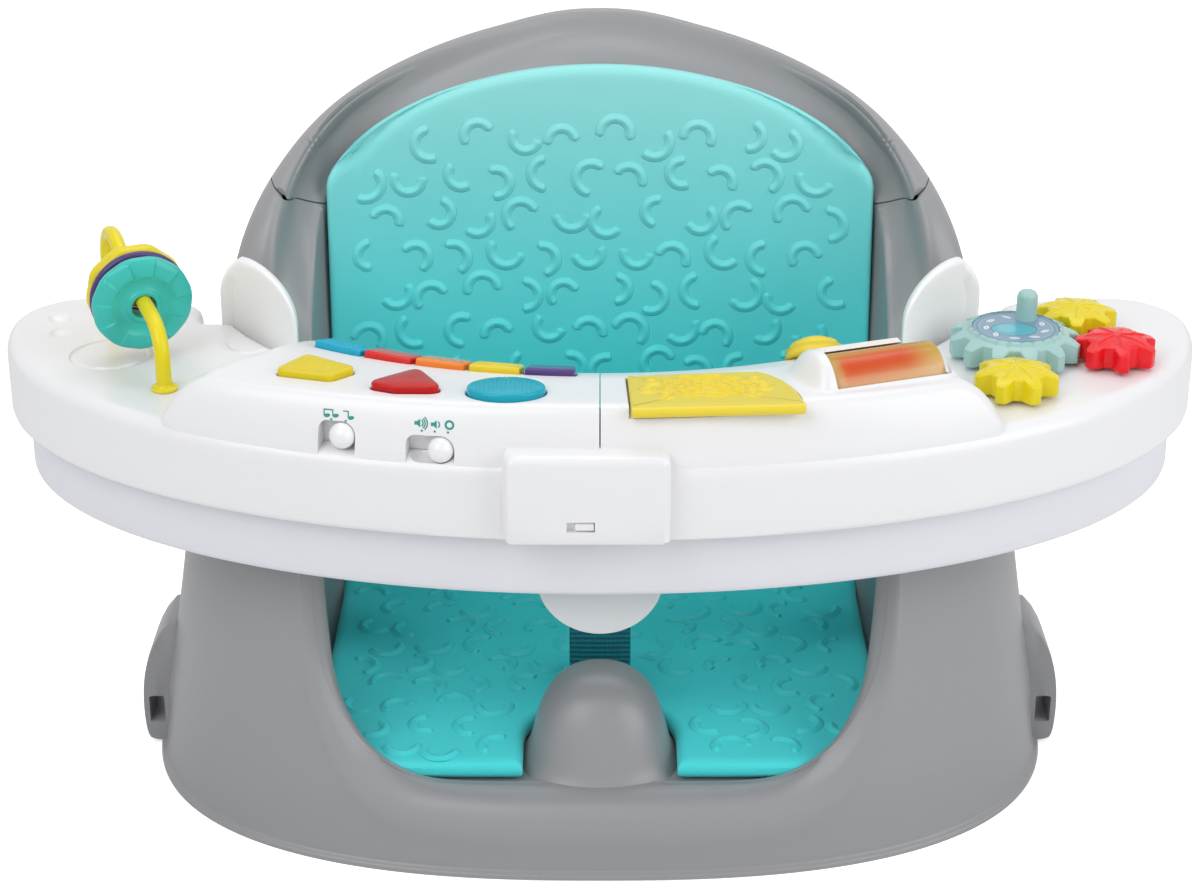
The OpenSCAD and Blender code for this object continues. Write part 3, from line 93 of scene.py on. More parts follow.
# the camera, glass and gloss see plain white, and the light that falls on the
# seat from all round is a weaker, cooler one
world = bpy.data.worlds.new("studio")
scene.world = world
world.use_nodes = True
tree = world.node_tree
tree.nodes.clear()
seen = add_node(tree, "LightPath")
pale = add_node(tree, "Background", Color=(0.93, 0.94, 0.96, 1), Strength=0.46)
plain = add_node(tree, "Background", Color=(1, 1, 1, 1), Strength=1)
either, any_ray = add_node(tree, "Math"), add_node(tree, "Math")
either.operation = any_ray.operation = "MAXIMUM"
mixed, out = add_node(tree, "MixShader"), add_node(tree, "OutputWorld")
join(tree, (seen, "Is Camera Ray", either, 0), (seen, "Is Transmission Ray", either, 1),
     (either, 0, any_ray, 0), (seen, "Is Glossy Ray", any_ray, 1), (any_ray, 0, mixed, 0),
     (pale, 0, mixed, 1), (plain, 0, mixed, 2), (mixed, 0, out, 0))


def shader(name, colour, rough, **sockets):
    """Material with one Principled shader, its plain values on its sockets."""
    made = bpy.data.materials.new(name)
    made.use_nodes = True
    bsdf = made.node_tree.nodes["Principled BSDF"]
    bsdf.inputs["Base Color"].default_value = (*colour, 1)
    bsdf.inputs["Roughness"].default_value = rough
    for socket, value in sockets.items():
        bsdf.inputs[socket.replace("_", " ")].default_value = value
    made.diffuse_color = (*colour, 1)
    return made, made.node_tree, bsdf


floor_look, tree, bsdf = shader("floor_white", (0.9, 0.9, 0.9), 0.6)
seen, glow = add_node(tree, "LightPath"), add_node(tree, "Emission", Strength=0.55)
added, mixed = add_node(tree, "AddShader"), add_node(tree, "MixShader")
join(tree, (bsdf, 0, added, 0), (glow, 0, added, 1), (seen, "Is Camera Ray", mixed, 0),
     (bsdf, 0, mixed, 1), (added, 0, mixed, 2),
     (mixed, 0, tree.nodes["Material Output"], 0))


def surface(name, points, faces, look, smooth=True, angle=None):
    """Mesh piece from points in millimetres and faces as rows of indices.

    Points closer than 2 micrometres become one, faces that lose their area
    go, and a skin whose enclosed volume comes out negative is turned over.
    """
    mesh = bpy.data.meshes.new(name)
    mesh.from_pydata((np.asarray(points, float) / 1000).tolist(), [], faces)
    made = bpy.data.objects.new(name, mesh)
    scene.collection.objects.link(made)
    work = bmesh.new()
    work.from_mesh(mesh)
    bmesh.ops.remove_doubles(work, verts=work.verts, dist=2e-6)
    bmesh.ops.dissolve_degenerate(work, edges=work.edges, dist=1e-6)
    if work.calc_volume(signed=True) < 0:
        bmesh.ops.reverse_faces(work, faces=work.faces)
    work.to_mesh(mesh)
    work.free()
    mesh.validate()
    if smooth:
        mesh.shade_smooth()
    if angle:
        mesh.set_sharp_from_angle(angle=math.radians(angle))
    mesh.materials.append(look)
    return made


def grid_faces(rows, columns, round_rows=False, round_columns=False, start=0):
    """Quads of a grid of rows by columns points, closed round where asked."""
    i = np.arange(rows if round_rows else rows - 1)[:, None]
    j = np.arange(columns if round_columns else columns - 1)[None, :]
    a = i * columns + j
    b = i * columns + (j + 1) % columns
    c = (i + 1) % rows * columns + (j + 1) % columns
    d = (i + 1) % rows * columns + j
    quads = np.stack([a, b, c, d], -1) + start
    return quads.reshape(-1, 4)


FLOOR = 6000 * np.array([[-1, -1, 0], [1, -1, 0], [1, 1, 0], [-1, 1, 0]])
floor_piece = surface("floor", FLOOR, [[0, 1, 2, 3]], floor_look, smooth=False)

# ---------------------------------------------------------------------------
# Seat shell: one hollow moulding in grey satin plastic, open below, with its
# upper back moulded apart and plugged on along an S-ended seam.
# ---------------------------------------------------------------------------
BASE_W, BASE_D, WALL = 407.0, 285.0, 3.0
ARM_H, BACK_H, PAN_H = 152.0, 310.8, 32.0
BUCKET_W, LEG_W = 256.0, 250.0
SEAT_Y, EYE_Y = 7.5, -10.0
SIDE_DRAFT, BACK_DRAFT, ROUND_N = 0.175, 0.074, 2.5
REST_Y, REST_Z, REST_LEAN, FRONT_WALL = 79, 60, 0.073, 26
LIP_H = PAN_H + 2
# by degrees from the front: height of the rim, how far its inner edge lies below
# it, and how wide and how deep its outer edge is rounded
RIM = [[0, LIP_H], [15, LIP_H], [21.5, LIP_H + 3], [27, LIP_H + 13],
       [32.4, LIP_H + 32], [35.8, LIP_H + 52], [38, LIP_H + 80],
       [39.6, LIP_H + 105], [41.2, ARM_H - 2], [45, ARM_H], [88, ARM_H],
       [90.5, ARM_H], [93, ARM_H + 9], [96, ARM_H + 36], [100, ARM_H + 68],
       [105, ARM_H + 85], [115, BACK_H - 57], [130, BACK_H - 38],
       [150, BACK_H - 19], [165, BACK_H - 8], [180, BACK_H]]
DROP = [[0, 0.6], [40, 1], [88, 1], [93, 6], [96, 22], [100, 36], [108, 38],
        [115, 30], [130, 24], [150, 20], [165, 18], [180, 17]]
ROLL = [[0, 20], [21, 17], [34, 9], [40, 6], [48, 12], [88, 13], [96, 15],
        [115, 13], [135, 10], [160, 14], [180, 15]]
FALL = [[0, 27], [21, 24], [32, 16], [41, 8], [48, 12], [88, 13], [96, 16],
        [180, 17]]
# height of the seam over SEAM_Z by distance from the middle plane
SEAM_Z, SEAM_GAP = 246.0, 0.7
SEAM = [[0, -16], [122, -16], [131, -13.6], [137, -10], [143, -5], [150, 1],
        [158, 5], [230, 10]]


def ease(t):
    """Rises from 0 to 1 with level ends."""
    t = np.clip(t, 0, 1)
    return t * t * (3 - 2 * t)


def curve(points, x):
    """Cubic from point to point, each slope that of its two neighbours."""
    px, py = np.array(points, float).T
    slope = np.zeros(len(px))
    slope[1:-1] = (py[2:] - py[:-2]) / (px[2:] - px[:-2])
    i = np.clip(np.searchsorted(px, x, side="right") - 1, 0, len(px) - 2)
    w = px[i + 1] - px[i]
    t = np.clip((x - px[i]) / w, 0, 1)
    return (py[i] * (1 + 2 * t) * (1 - t) ** 2 + py[i + 1] * t * t * (3 - 2 * t)
            + slope[i] * w * t * (1 - t) ** 2 - slope[i + 1] * w * t * t * (1 - t))


def power(v, p):
    """Power of the size of v that keeps its sign."""
    return np.sign(v) * np.abs(v) ** p


def wall_at(t, z, d):
    """Outer wall at turn t and height z: a superellipse that narrows upwards."""
    s, c = np.sin(np.radians(t)), np.cos(np.radians(t))
    a = BASE_W / 2 - SIDE_DRAFT * z - d
    b = BASE_D / 2 - np.where(c > 0, SIDE_DRAFT, BACK_DRAFT) * z - d
    return a * power(s, 2 / ROUND_N), SEAT_Y - b * power(c, 2 / ROUND_N)


def bucket_at(f, z, d):
    """Distance from the eye of the seat to the bucket's wall, facing f."""
    s, c = np.abs(np.sin(f)), np.cos(f)
    wide = ease(np.abs(np.degrees(f)) / 110)
    a = (LEG_W + (BUCKET_W - LEG_W) * wide) / 2 + 0.01 * z + d
    front = BASE_D / 2 - SEAT_Y - FRONT_WALL - SIDE_DRAFT * 0.9 * (z - PAN_H) + EYE_Y
    back = REST_Y + REST_LEAN * (z - REST_Z) - EYE_Y
    b = np.where(c > 0, front, back) + d
    return ((s / a) ** 7 + (np.abs(c) / b) ** 7) ** (-1 / 7)


def shell_rows(t, d):
    """Fifteen corners of the shell's profile at each turn, floor to pan."""
    half = np.where(t > 180, 360 - t, t)
    top = curve(RIM, half) - d
    ro = np.maximum(curve(ROLL, half) - d * 0.6, 1.5)
    fo = np.minimum(np.maximum(curve(FALL, half) - d * 0.6, 1.5), top - 4)
    ox, oy = wall_at(t, top - fo, d)
    f = np.arctan2(ox, EYE_Y - oy)
    reach = np.hypot(ox, oy - EYE_Y)
    edge = np.maximum(top - curve(DROP, half), PAN_H - d + 0.4)
    ri = np.minimum(8, (edge - PAN_H + d) * 0.4)
    fr = np.minimum(11, (edge - PAN_H + d) * 0.45)
    lip = np.minimum(bucket_at(f, edge, d), reach - ro - 1.2)
    low = np.minimum(bucket_at(f, PAN_H, d), reach - ro - 1.2)
    pan = PAN_H - d

    def at(r, z):
        return np.stack([np.sin(f) * r, EYE_Y - np.cos(f) * r, z + 0 * r], -1)

    def on(z):
        x, y = wall_at(t, z, d)
        return np.stack([x, y, z + 0 * x], -1)

    mid = lip + ri
    return np.stack([
        on(0 * top), on((top - fo) * 0.12), on((top - fo) * 0.5), on(top - fo),
        at(reach - ro * 0.12, top - fo * 0.5), at(reach - ro * 0.45, top - fo * 0.14),
        at(reach - ro, top),
        at((reach - ro) * 0.4 + mid * 0.6, top * 0.45 + edge * 0.55),
        at(lip + ri * 0.4, edge), at(lip, edge - ri * 0.6), at(lip, edge - ri),
        at((lip + low) / 2, (edge - ri + pan + fr) / 2), at(low, pan + fr),
        at(low - fr * 0.3, pan + fr * 0.3), at(low - fr, pan)], 1)


def smooth_rows(p, steps):
    """Smooth line through each column's corners, with so many steps a span.

    Each span is a cubic whose end slopes weigh the two spans that meet there
    by their lengths, so a long wall stays straight beside a small round.
    """
    h = np.maximum(np.linalg.norm(np.diff(p, axis=1), axis=2), 1e-6)
    v = np.diff(p, axis=1) / h[..., None]
    m = np.empty_like(p)
    w = h[:, 1:, None] / (h[:, 1:, None] + h[:, :-1, None])
    m[:, 1:-1] = v[:, :-1] * w + v[:, 1:] * (1 - w)
    m[:, 0], m[:, -1] = v[:, 0], v[:, -1]
    parts = []
    for i, n in enumerate(steps):
        q = (np.arange(n) / n)[None, :, None]
        k = h[:, i, None, None]
        parts.append(p[:, i, None] * (1 + 2 * q) * (1 - q) ** 2
                     + p[:, i + 1, None] * q * q * (3 - 2 * q)
                     + m[:, i, None] * k * q * (1 - q) ** 2
                     - m[:, i + 1, None] * k * q * q * (1 - q))
    return np.concatenate(parts + [p[:, -1:]], 1)


def along(rows, q):
    """Points of each column's line at its own places q."""
    i = np.clip(np.floor(q).astype(int), 0, rows.shape[1] - 2)
    k = np.arange(rows.shape[0])[:, None]
    f = (q - i)[..., None]
    return rows[k, i] * (1 - f) + rows[k, i + 1] * f


def crossing(rows, level):
    """Whether each column's line meets the seam, where first, where last, its peak."""
    g = rows[..., 2] - SEAM_Z - curve(SEAM, np.abs(rows[..., 0])) - level
    above, n, k = g > 0, g.shape[1], np.arange(len(g))
    places = []
    for i in (np.argmax(above, 1) - 1, n - 1 - np.argmax(above[:, ::-1], 1)):
        i = np.clip(i, 0, n - 2)
        fall = g[k, i] - g[k, i + 1]
        places.append(i + g[k, i] / np.where(fall == 0, 1, fall))
    return above.any(1), *places, np.argmax(g, 1).astype(float)


turns = np.concatenate([np.arange(0, 28, 1.2), np.arange(28, 42, 0.45),
                        np.arange(42, 86, 1.6), np.arange(86, 116, 0.4),
                        np.arange(116, 180, 1.3)])
turns = np.concatenate([turns, [180], 360 - turns[:0:-1]])
# rows from each corner of the profile to the next; the sixth ends at the crest
STEPS = [9, 21, 27, 15, 15, 15, 15, 15, 15, 3, 21, 27, 15, 15]
outer = smooth_rows(shell_rows(turns, 0.0), STEPS)
inner = smooth_rows(shell_rows(turns, WALL), STEPS)
CREST = sum(STEPS[:6])
EVEN_ROWS, FOOT_ROWS = 36, [1.4, 1.8, 2.2, 2.6, 3.0, 3.5, 4.2]
LOW_ROWS, HIGH_ROWS = EVEN_ROWS + len(FOOT_ROWS), 46
FOOT_PULL, FOOT_Z, FOOT_RISE, FOOT_TOP, FOOT_FADE = 2.0, 1.6, 1.7, 6, 30


def split_rows(rows):
    """Both halves of each column, up to the seam, or to the rim's crest."""
    cut, q1, q2, peak = crossing(rows, -SEAM_GAP / 2)
    # beyond the seam the halves meet at the crest, eased back to its middle
    first = np.where(cut)[0]
    near = np.minimum(np.abs(turns - turns[first[0]]),
                      np.abs(turns - turns[first[-1]]))
    crest = CREST + (peak - CREST) * (1 - ease(near / 8))
    q1, q2 = np.where(cut, q1, crest), np.where(cut, q2, crest)
    end = rows.shape[1] - 1
    # even rows up to the seam, and a few more round the foot's lip
    k, marks = np.arange(len(rows)), []
    for z in FOOT_ROWS:
        i = (rows[..., 2] > z).argmax(1)
        marks.append(i - 1 + (z - rows[k, i - 1, 2]) / (rows[k, i, 2] - rows[k, i - 1, 2]))
    even = q1[:, None] * np.arange(EVEN_ROWS + 1) / EVEN_ROWS
    low = along(rows, np.sort(np.column_stack([even] + marks), axis=1))
    high = along(rows, q2[:, None] + (end - q2[:, None])
                 * (np.arange(HIGH_ROWS + 1) / HIGH_ROWS) ** 1.15)
    eye = np.zeros((len(rows), 1, 3))
    eye[:, 0] = [0, EYE_Y, rows[0, -1, 2]]
    flat = [high[:, -1:] + (eye - high[:, -1:]) * k for k in (0.25, 0.6, 1)]
    return cut, low, np.concatenate([high] + flat, 1)


cut, low_out, high_out = split_rows(outer)
_, low_in, high_in = split_rows(inner)
n_turn = len(turns)
blocks = [low_out, high_out, low_in, high_in]
starts = np.cumsum([0] + [b.shape[1] * n_turn for b in blocks])
points = np.concatenate([b.transpose(1, 0, 2).reshape(-1, 3) for b in blocks])
# over a thin lip at the floor the wall is swept in and eases back out higher up
foot = points[:starts[1]]
pull = (FOOT_PULL * ease((foot[:, 2] - FOOT_Z) / FOOT_RISE)
        * (1 - ease((foot[:, 2] - FOOT_TOP) / FOOT_FADE)))
away = foot[:, :2] - [0, SEAT_Y]
foot[:, :2] -= pull[:, None] * away / np.linalg.norm(away, axis=1, keepdims=True)
j = np.arange(n_turn)
k = (j + 1) % n_turn


def strip(first, row_a, second, row_b, which, flip=False):
    """Quads between a row of one block and a row of another."""
    a = starts[first] + row_a * n_turn
    b = starts[second] + row_b * n_turn
    quads = np.stack([a + j, a + k, b + k, b + j], -1)[which]
    return quads[:, ::-1] if flip else quads


closed = cut & cut[k]
faces = [grid_faces(b.shape[1], n_turn, round_columns=True, start=first)[:, ::way]
         for b, first, way in zip(blocks, starts, (1, 1, -1, -1))]
faces += [strip(0, LOW_ROWS, 1, 0, ~closed), strip(2, LOW_ROWS, 3, 0, ~closed, True),
          strip(0, LOW_ROWS, 2, LOW_ROWS, closed), strip(3, 0, 1, 0, closed),
          strip(2, 0, 0, 0, j >= 0)]


def grain(tree, bsdf, scale, height, rough, spread, detail=3):
    """Fine moulded grain: noise on Object coordinates, as bump and gloss."""
    place = add_node(tree, "TexCoord")
    noise = add_node(tree, "TexNoise", Scale=scale, Detail=detail)
    bump = add_node(tree, "Bump", Strength=0.5, Distance=height)
    span = add_node(tree, "MapRange", To_Min=rough - spread, To_Max=rough + spread)
    join(tree, (place, "Object", noise, "Vector"), (noise, "Fac", bump, "Height"),
         (noise, "Fac", span, "Value"), (bump, "Normal", bsdf, "Normal"),
         (span, "Result", bsdf, "Roughness"))


def grained(name, colour, rough, scale, height, spread, **sockets):
    """Material of one colour with a fine grain."""
    look, tree, bsdf = shader(name, colour, rough, **sockets)
    grain(tree, bsdf, scale, height, rough, spread)
    return look


shell_look = grained("grey_satin_plastic", (0.30, 0.302, 0.312), 0.38, 900, 0.00006, 0.06,
                     Specular_IOR_Level=0.5, Coat_Weight=0.12, Coat_Roughness=0.3)
shell = surface("seat_shell", points, np.concatenate(faces).tolist(), shell_look,
                angle=38)
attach(shell, "seat")
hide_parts("seat_base")

# the upper back: both faces above the seam, from front to back in N rows
N = 61
span = np.arange(N) / (N - 1)
meets, points = [], []
for rows in (outer, inner):
    cut, q1, q2, peak = crossing(rows, SEAM_GAP / 2)
    meets.append(cut)
    points.append(along(rows, q1[:, None] * (1 - span) + q2[:, None] * span))
points = np.stack(points)[:, meets[0] & meets[1]]
m = points.shape[1]
quads, size = grid_faces(m, N), m * N
a, row, end = np.arange(N - 1), np.arange(m - 1) * N, (m - 1) * N
sides = [(a, a + 1), (end + a + 1, end + a), (row + N, row),
         (row + N - 1, row + 2 * N - 1)]
faces = np.concatenate([quads[:, ::-1], quads + size] + [
    np.stack([b, c, c + size, b + size], -1) for b, c in sides])
upper = surface("upper_back_shell", points.reshape(-1, 3), faces.tolist(), shell_look,
                angle=38)
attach(upper, "seat")
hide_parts("upper_back")

# ---------------------------------------------------------------------------
# Pommel: round-headed hump between the child's legs, moulded with the seat,
# its foot swept out into the pan.
# ---------------------------------------------------------------------------
POMMEL_W, POMMEL_H, POMMEL_Y, POMMEL_DEPTH = 58.0, 84.0, -86.0, 27.0


def circle(r, a):
    """Points at radius r and at each angle a round the origin."""
    return np.stack([r * np.cos(a), r * np.sin(a)], -1)


def stacked(name, rings, look, angle=None, lid=True):
    """Closed skin over rings of points (m, n, 3), first and last ring capped.

    Without a lid the last ring has to close by itself, to a line or a point.
    """
    m, n = rings.shape[:2]
    faces = grid_faces(m, n, round_columns=True).tolist()
    faces += [list(range(n))[::-1]] + [list(range((m - 1) * n, m * n))] * lid
    return surface(name, rings.reshape(-1, 3), faces, look, angle=angle)


def full_turn(n):
    """n even angles over one turn."""
    return np.linspace(0, 2 * math.pi, n, endpoint=False)


level = np.sin(np.linspace(0, 1, 46) * math.pi / 2)[:, None] * 0.99999
around = full_turn(96)[None]
head = (1 - level ** 2.9) ** (1 / 2.3)
rise = level * (POMMEL_H - PAN_H - 5)
sweep = 1 + 0.1 * (1 - level) ** 3 + 0.13 * np.exp(-np.maximum(rise - 6, 0) / 3.6)
across = POMMEL_W / 2 * head * sweep * power(np.cos(around), 0.85)
deep = np.where(level > 0.9999, 0.01, POMMEL_DEPTH * (head * 0.88 + 0.12 * head ** 0.4)
                * sweep)
rings = np.stack([across, POMMEL_Y + 4 * level + deep * power(np.sin(around), 0.85),
                  PAN_H - 6 + rise + 0 * around], -1)
pommel = stacked("pommel", rings, shell_look)
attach(pommel, "seat")
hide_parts("seat_base")

# ---------------------------------------------------------------------------
# Chair-strap loops: a moulded band on each side of the shell round the slot
# that a chair strap would be threaded through.
# ---------------------------------------------------------------------------
LOOP_Y, LOOP_HALF = -5.0, 15.0


def lengths(line):
    """Length along a line of corners up to each of them."""
    return np.concatenate([[0], np.cumsum(np.linalg.norm(np.diff(line, axis=0), axis=1))])


def resample(line, n, closed=True):
    """n points at even lengths along a line of corners."""
    line = np.asarray(line, float)
    if closed:
        line = np.vstack([line, line[:1]])
    far = lengths(line)
    at = np.linspace(0, far[-1], n, endpoint=not closed)
    return np.stack([np.interp(at, far, c) for c in line.T], -1)


def soften(line, passes, closed=True):
    """Cuts every corner of a line at a quarter and three quarters of its sides."""
    line = np.asarray(line, float)
    for _ in range(passes):
        after = np.roll(line, -1, 0)
        cut_line = np.stack([line * 0.75 + after * 0.25,
                             line * 0.25 + after * 0.75], 1).reshape(-1, line.shape[1])
        line = cut_line if closed else np.vstack([line[:1], cut_line[:-2], line[-1:]])
    return line


def round_line(corners):
    """Line round corners, each cut a twelfth of the way along its sides."""
    corners = np.array(corners, float)
    return np.stack([corners * 11 / 12 + np.roll(corners, 1, 0) / 12, corners,
                     corners * 11 / 12 + np.roll(corners, -1, 0) / 12], 1).reshape(-1, 2)


def reach_to(line, centre, angle):
    """Distance from the slot's centre to a line round it, at each angle."""
    bearing = np.arctan2(line[:, 1] - centre[1], line[:, 0] - centre[0])
    order = np.argsort(bearing)
    far = np.linalg.norm(line - centre, axis=1)[order]
    return np.interp(angle, bearing[order], far, period=2 * math.pi)


LOOP_X, SLOT_C = BASE_W / 2 + 5, np.array([BASE_W / 2 - 0.3, 17.7])
outline = soften([[LOOP_X - 20, 1], [LOOP_X - 2, 1], [LOOP_X, 5], [LOOP_X + 1, 18],
                  [LOOP_X, 34], [LOOP_X - 4, 49], [LOOP_X - 12, 62], [LOOP_X - 20, 65]], 3)
slot = round_line([[LOOP_X - 8.6, 11.5], [LOOP_X - 2, 11.5], [LOOP_X - 2, 24],
                   [LOOP_X - 8.6, 24]])
angle = full_turn(72)
out_r = reach_to(resample(outline, 300), SLOT_C, angle)
in_r = reach_to(resample(slot, 200), SLOT_C, angle)
# share of half the thickness, and of the way from the slot out to the edge
band = np.array([[0.86, 0], [0.95, 0.0], [1, 0.035], [1, 0.5], [1, 0.955], [0.96, 0.99],
                 [0.86, 1], [-0.86, 1], [-0.96, 0.99], [-1, 0.955], [-1, 0.5],
                 [-1, 0.035], [-0.95, 0], [-0.86, 0]])
r = in_r + (out_r - in_r) * band[:, 1, None]
for side, name in ((-1, "left"), (1, "right")):
    rings = np.stack([side * (SLOT_C[0] + r * np.cos(angle)),
                      LOOP_Y + LOOP_HALF * band[:, :1] + 0 * angle,
                      SLOT_C[1] + r * np.sin(angle)], -1)
    loop = surface("strap_loop_" + name, rings.reshape(-1, 3),
                   grid_faces(len(band), 72, True, True).tolist(), shell_look, angle=35)
    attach(loop, "seat")
    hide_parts("seat_base")

# ---------------------------------------------------------------------------
# Liner: a sheet of turquoise foam folded once, from the back down over the
# seat, parted round the pommel and embossed all over with small arcs.
# ---------------------------------------------------------------------------
LINER_T, LINER_Z, BEND_R = 9.0, PAN_H + 0.5, 30.0
LINER_TOP, LINER_SIDE, SEAT_SIDE = BACK_H - 20, BUCKET_W / 2 - 3, LEG_W / 2 - 1.5
LINER_FRONT, LINER_R = -108.0, 46.0
NOTCH_SIDE, NOTCH_BACK = POMMEL_W / 2 + 4, POMMEL_Y + POMMEL_DEPTH + 8
BEND_Y = REST_Y - 0.5 + REST_LEAN * (LINER_Z + BEND_R - REST_Z)
FLAT_SEAT = BEND_Y - BEND_R - LINER_FRONT
FLAT_BEND = FLAT_SEAT + BEND_R * math.pi / 2
ARCH_H, ARCH_SHARE, CROWN, CROWN_W, BELOW, BELOW_W = 61.5, 0.93, 0.42, 4.5, 0.32, 3.5


def lay(x, far, h):
    """Point of the folded sheet: x across, far from its front edge, h above.

    The sheet lies flat on the pan, turns up through a quarter round and then
    leans back up the backrest, its sides coming a little forward.
    """
    turn = np.clip((far - FLAT_SEAT) / BEND_R, 0, math.pi / 2)
    up = np.maximum(far - FLAT_BEND, 0)
    share = np.abs(x / LINER_SIDE)
    dish = (4 * share ** 2 + 12 * share ** 9) * ease(up / 230 * 3)
    y = (LINER_FRONT + np.minimum(far, FLAT_SEAT) + (BEND_R - h) * np.sin(turn)
         + up * REST_LEAN - dish)
    z = LINER_Z + BEND_R - (BEND_R - h) * np.cos(turn) + up
    return np.stack([x, y, z], -1)


def top_far(x):
    """Length along the sheet to its arched top edge at x."""
    u = np.clip(np.abs(x) / LINER_SIDE, 0, 1)
    top = LINER_TOP - ARCH_H * (1 - np.sqrt(1 - (ARCH_SHARE * u) ** 2))
    return FLAT_BEND + top - LINER_Z - BEND_R


def edged(length, step):
    """Shares of a length, close together where an edge is rounded."""
    near = np.array([0, 0.4, 1.1, 2.1, 3.4, 5, 7])
    middle = np.linspace(7, length - 7, max(int((length - 14) / step), 2) + 1)[1:-1]
    return np.concatenate([near, middle, length - near[::-1]]) / length


# rows run from the top edge to the front edge, columns from the middle out
column = edged(LINER_SIDE, 4)[None]
turned = np.linspace(0, math.pi / 2, 40)[:, None]
BACK_LEN, FRONT_LEN, FINE = 228, 78, 900
CORNER_IN, CORNER_AT, CORNER_SPAN = 14, 0.93, 0.07
back = edged(BACK_LEN, 4)
back = 1 - back[back < 0.968][:, None]
round_in = np.clip(back - CORNER_AT, 0, 1) / CORNER_SPAN
half = LINER_SIDE - CORNER_IN * (1 - np.sqrt(1 - round_in ** 2))
back_x = column * half
back_far = FLAT_BEND + back * (top_far(column * LINER_SIDE) - FLAT_BEND)
bend = np.linspace(1, 0, 13)[:, None]
bend_x = column * (SEAT_SIDE + (LINER_SIDE - SEAT_SIDE) * ease(bend))
bend_far = FLAT_SEAT + (FLAT_BEND - FLAT_SEAT) * bend + 0 * column
NOTCH_FAR = NOTCH_BACK - LINER_FRONT
even = np.linspace(1, 0, 24)[1:, None]
even_far = NOTCH_FAR + (FLAT_SEAT - NOTCH_FAR) * even + 0 * column
even_x = column * SEAT_SIDE + 0 * even
inner_line = resample(np.vstack([np.hstack([
    NOTCH_SIDE * np.sin(turned),
    NOTCH_FAR - NOTCH_SIDE + NOTCH_SIDE * np.cos(turned)]), [[NOTCH_SIDE, 0]]]),
    FINE, closed=False)
outer_line = resample(np.vstack([[[SEAT_SIDE, NOTCH_FAR]], np.hstack([
    SEAT_SIDE - LINER_R + LINER_R * np.cos(turned),
    LINER_R - LINER_R * np.sin(turned)])]), FINE, closed=False)
front = edged(FRONT_LEN, 2.5)
pick = (front[front > 0.02] * (FINE - 1)).astype(int)
front_x = inner_line[pick, :1] + (outer_line - inner_line)[pick, :1] * column
front_far = inner_line[pick, 1:] + (outer_line - inner_line)[pick, 1:] * column
flat_x = np.concatenate([back_x, bend_x, even_x, front_x])
flat_far = np.concatenate([back_far, bend_far, even_far, front_far])
notch_row = len(back_x) + len(bend_x) + len(even_x) - 1


def edge_distance(x, far):
    """Distance across the sheet to the nearest edge of the right half."""
    flat = np.stack([flat_x, flat_far], -1)
    edge = np.concatenate([flat[0], flat[:, -1], flat[-1, ::-1], flat[:notch_row - 1:-1, 0]])
    edge = resample(edge, 1600, closed=False)
    gap = np.full(x.shape, 1e9)
    for part in np.array_split(edge, 16):
        gap = np.minimum(gap, np.hypot(x[..., None] - part[:, 0],
                                       far[..., None] - part[:, 1]).min(-1))
    return gap


gap = edge_distance(flat_x, flat_far)
gap[:, -1] = gap[0] = gap[-1] = gap[notch_row:, 0] = 0
crown = 1 - CROWN + CROWN * np.sqrt(1 - (1 - np.minimum(gap / CROWN_W, 1)) ** 2)
below = LINER_T * BELOW * (1 - np.minimum(gap / BELOW_W, 1)) ** 2
top_face = lay(flat_x, flat_far, LINER_T * crown)
low_face = lay(flat_x, flat_far, below)
m, n = flat_x.shape
quads = grid_faces(m, n)
size = m * n
rim_loop = np.concatenate([
    np.arange(n - 1), np.arange(m - 1) * n + n - 1, (m - 1) * n + np.arange(n - 1, 0, -1),
    np.arange(m - 1, notch_row, -1) * n])
rim_next = np.concatenate([rim_loop[1:], [notch_row * n]])
walls = np.stack([rim_loop, rim_next, rim_next + size, rim_loop + size], -1)
half_faces = np.concatenate([quads[:, ::-1], quads + size, walls])
points = np.concatenate([top_face.reshape(-1, 3), low_face.reshape(-1, 3)])
points = np.concatenate([points, points * [-1, 1, 1]])
faces = np.concatenate([half_faces, half_faces[:, ::-1] + 2 * size])

foam_look, tree, bsdf = shader("turquoise_foam", (0.12, 0.75, 0.74), 0.5,
                               Specular_IOR_Level=0.42, Sheen_Weight=0.12,
                               Sheen_Roughness=0.5)
grain(tree, bsdf, 1400, 0.00008, 0.5, 0.07, 5)


def tinted(tree, bsdf, light, dark, start, end, axis="Z", mottle=0.06):
    """Base colour that runs from light to dark along an axis, finely mottled."""
    place, apart = add_node(tree, "TexCoord"), add_node(tree, "SeparateXYZ")
    span = add_node(tree, "MapRange", From_Min=start, From_Max=end)
    span.interpolation_type = "SMOOTHSTEP"
    noise = add_node(tree, "TexNoise", Scale=35, Detail=4)
    push = add_node(tree, "Math")
    push.operation, push.inputs[1].default_value = "MULTIPLY_ADD", mottle
    blend = add_node(tree, "Mix")
    blend.data_type = "RGBA"
    blend.inputs["A"].default_value = (*light, 1)
    blend.inputs["B"].default_value = (*dark, 1)
    join(tree, (place, "Object", apart, "Vector"), (place, "Object", noise, "Vector"),
         (apart, axis, span, "Value"), (noise, "Fac", push, 0), (span, "Result", push, 2),
         (push, "Value", blend, "Factor"), (blend, "Result", bsdf, "Base Color"))


# the foam's colour runs from a deeper turquoise low on the seat to a paler one up the
# backrest: painted light, the upper back lit more from above, over a fine random mottle
tinted(tree, bsdf, (0.05, 0.72, 0.74), (0.36, 0.79, 0.77), 0.12, 0.36)
liner = surface("foam_liner", points, faces.tolist(), foam_look, angle=60)
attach(liner, "seat")
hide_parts("seat_liner")

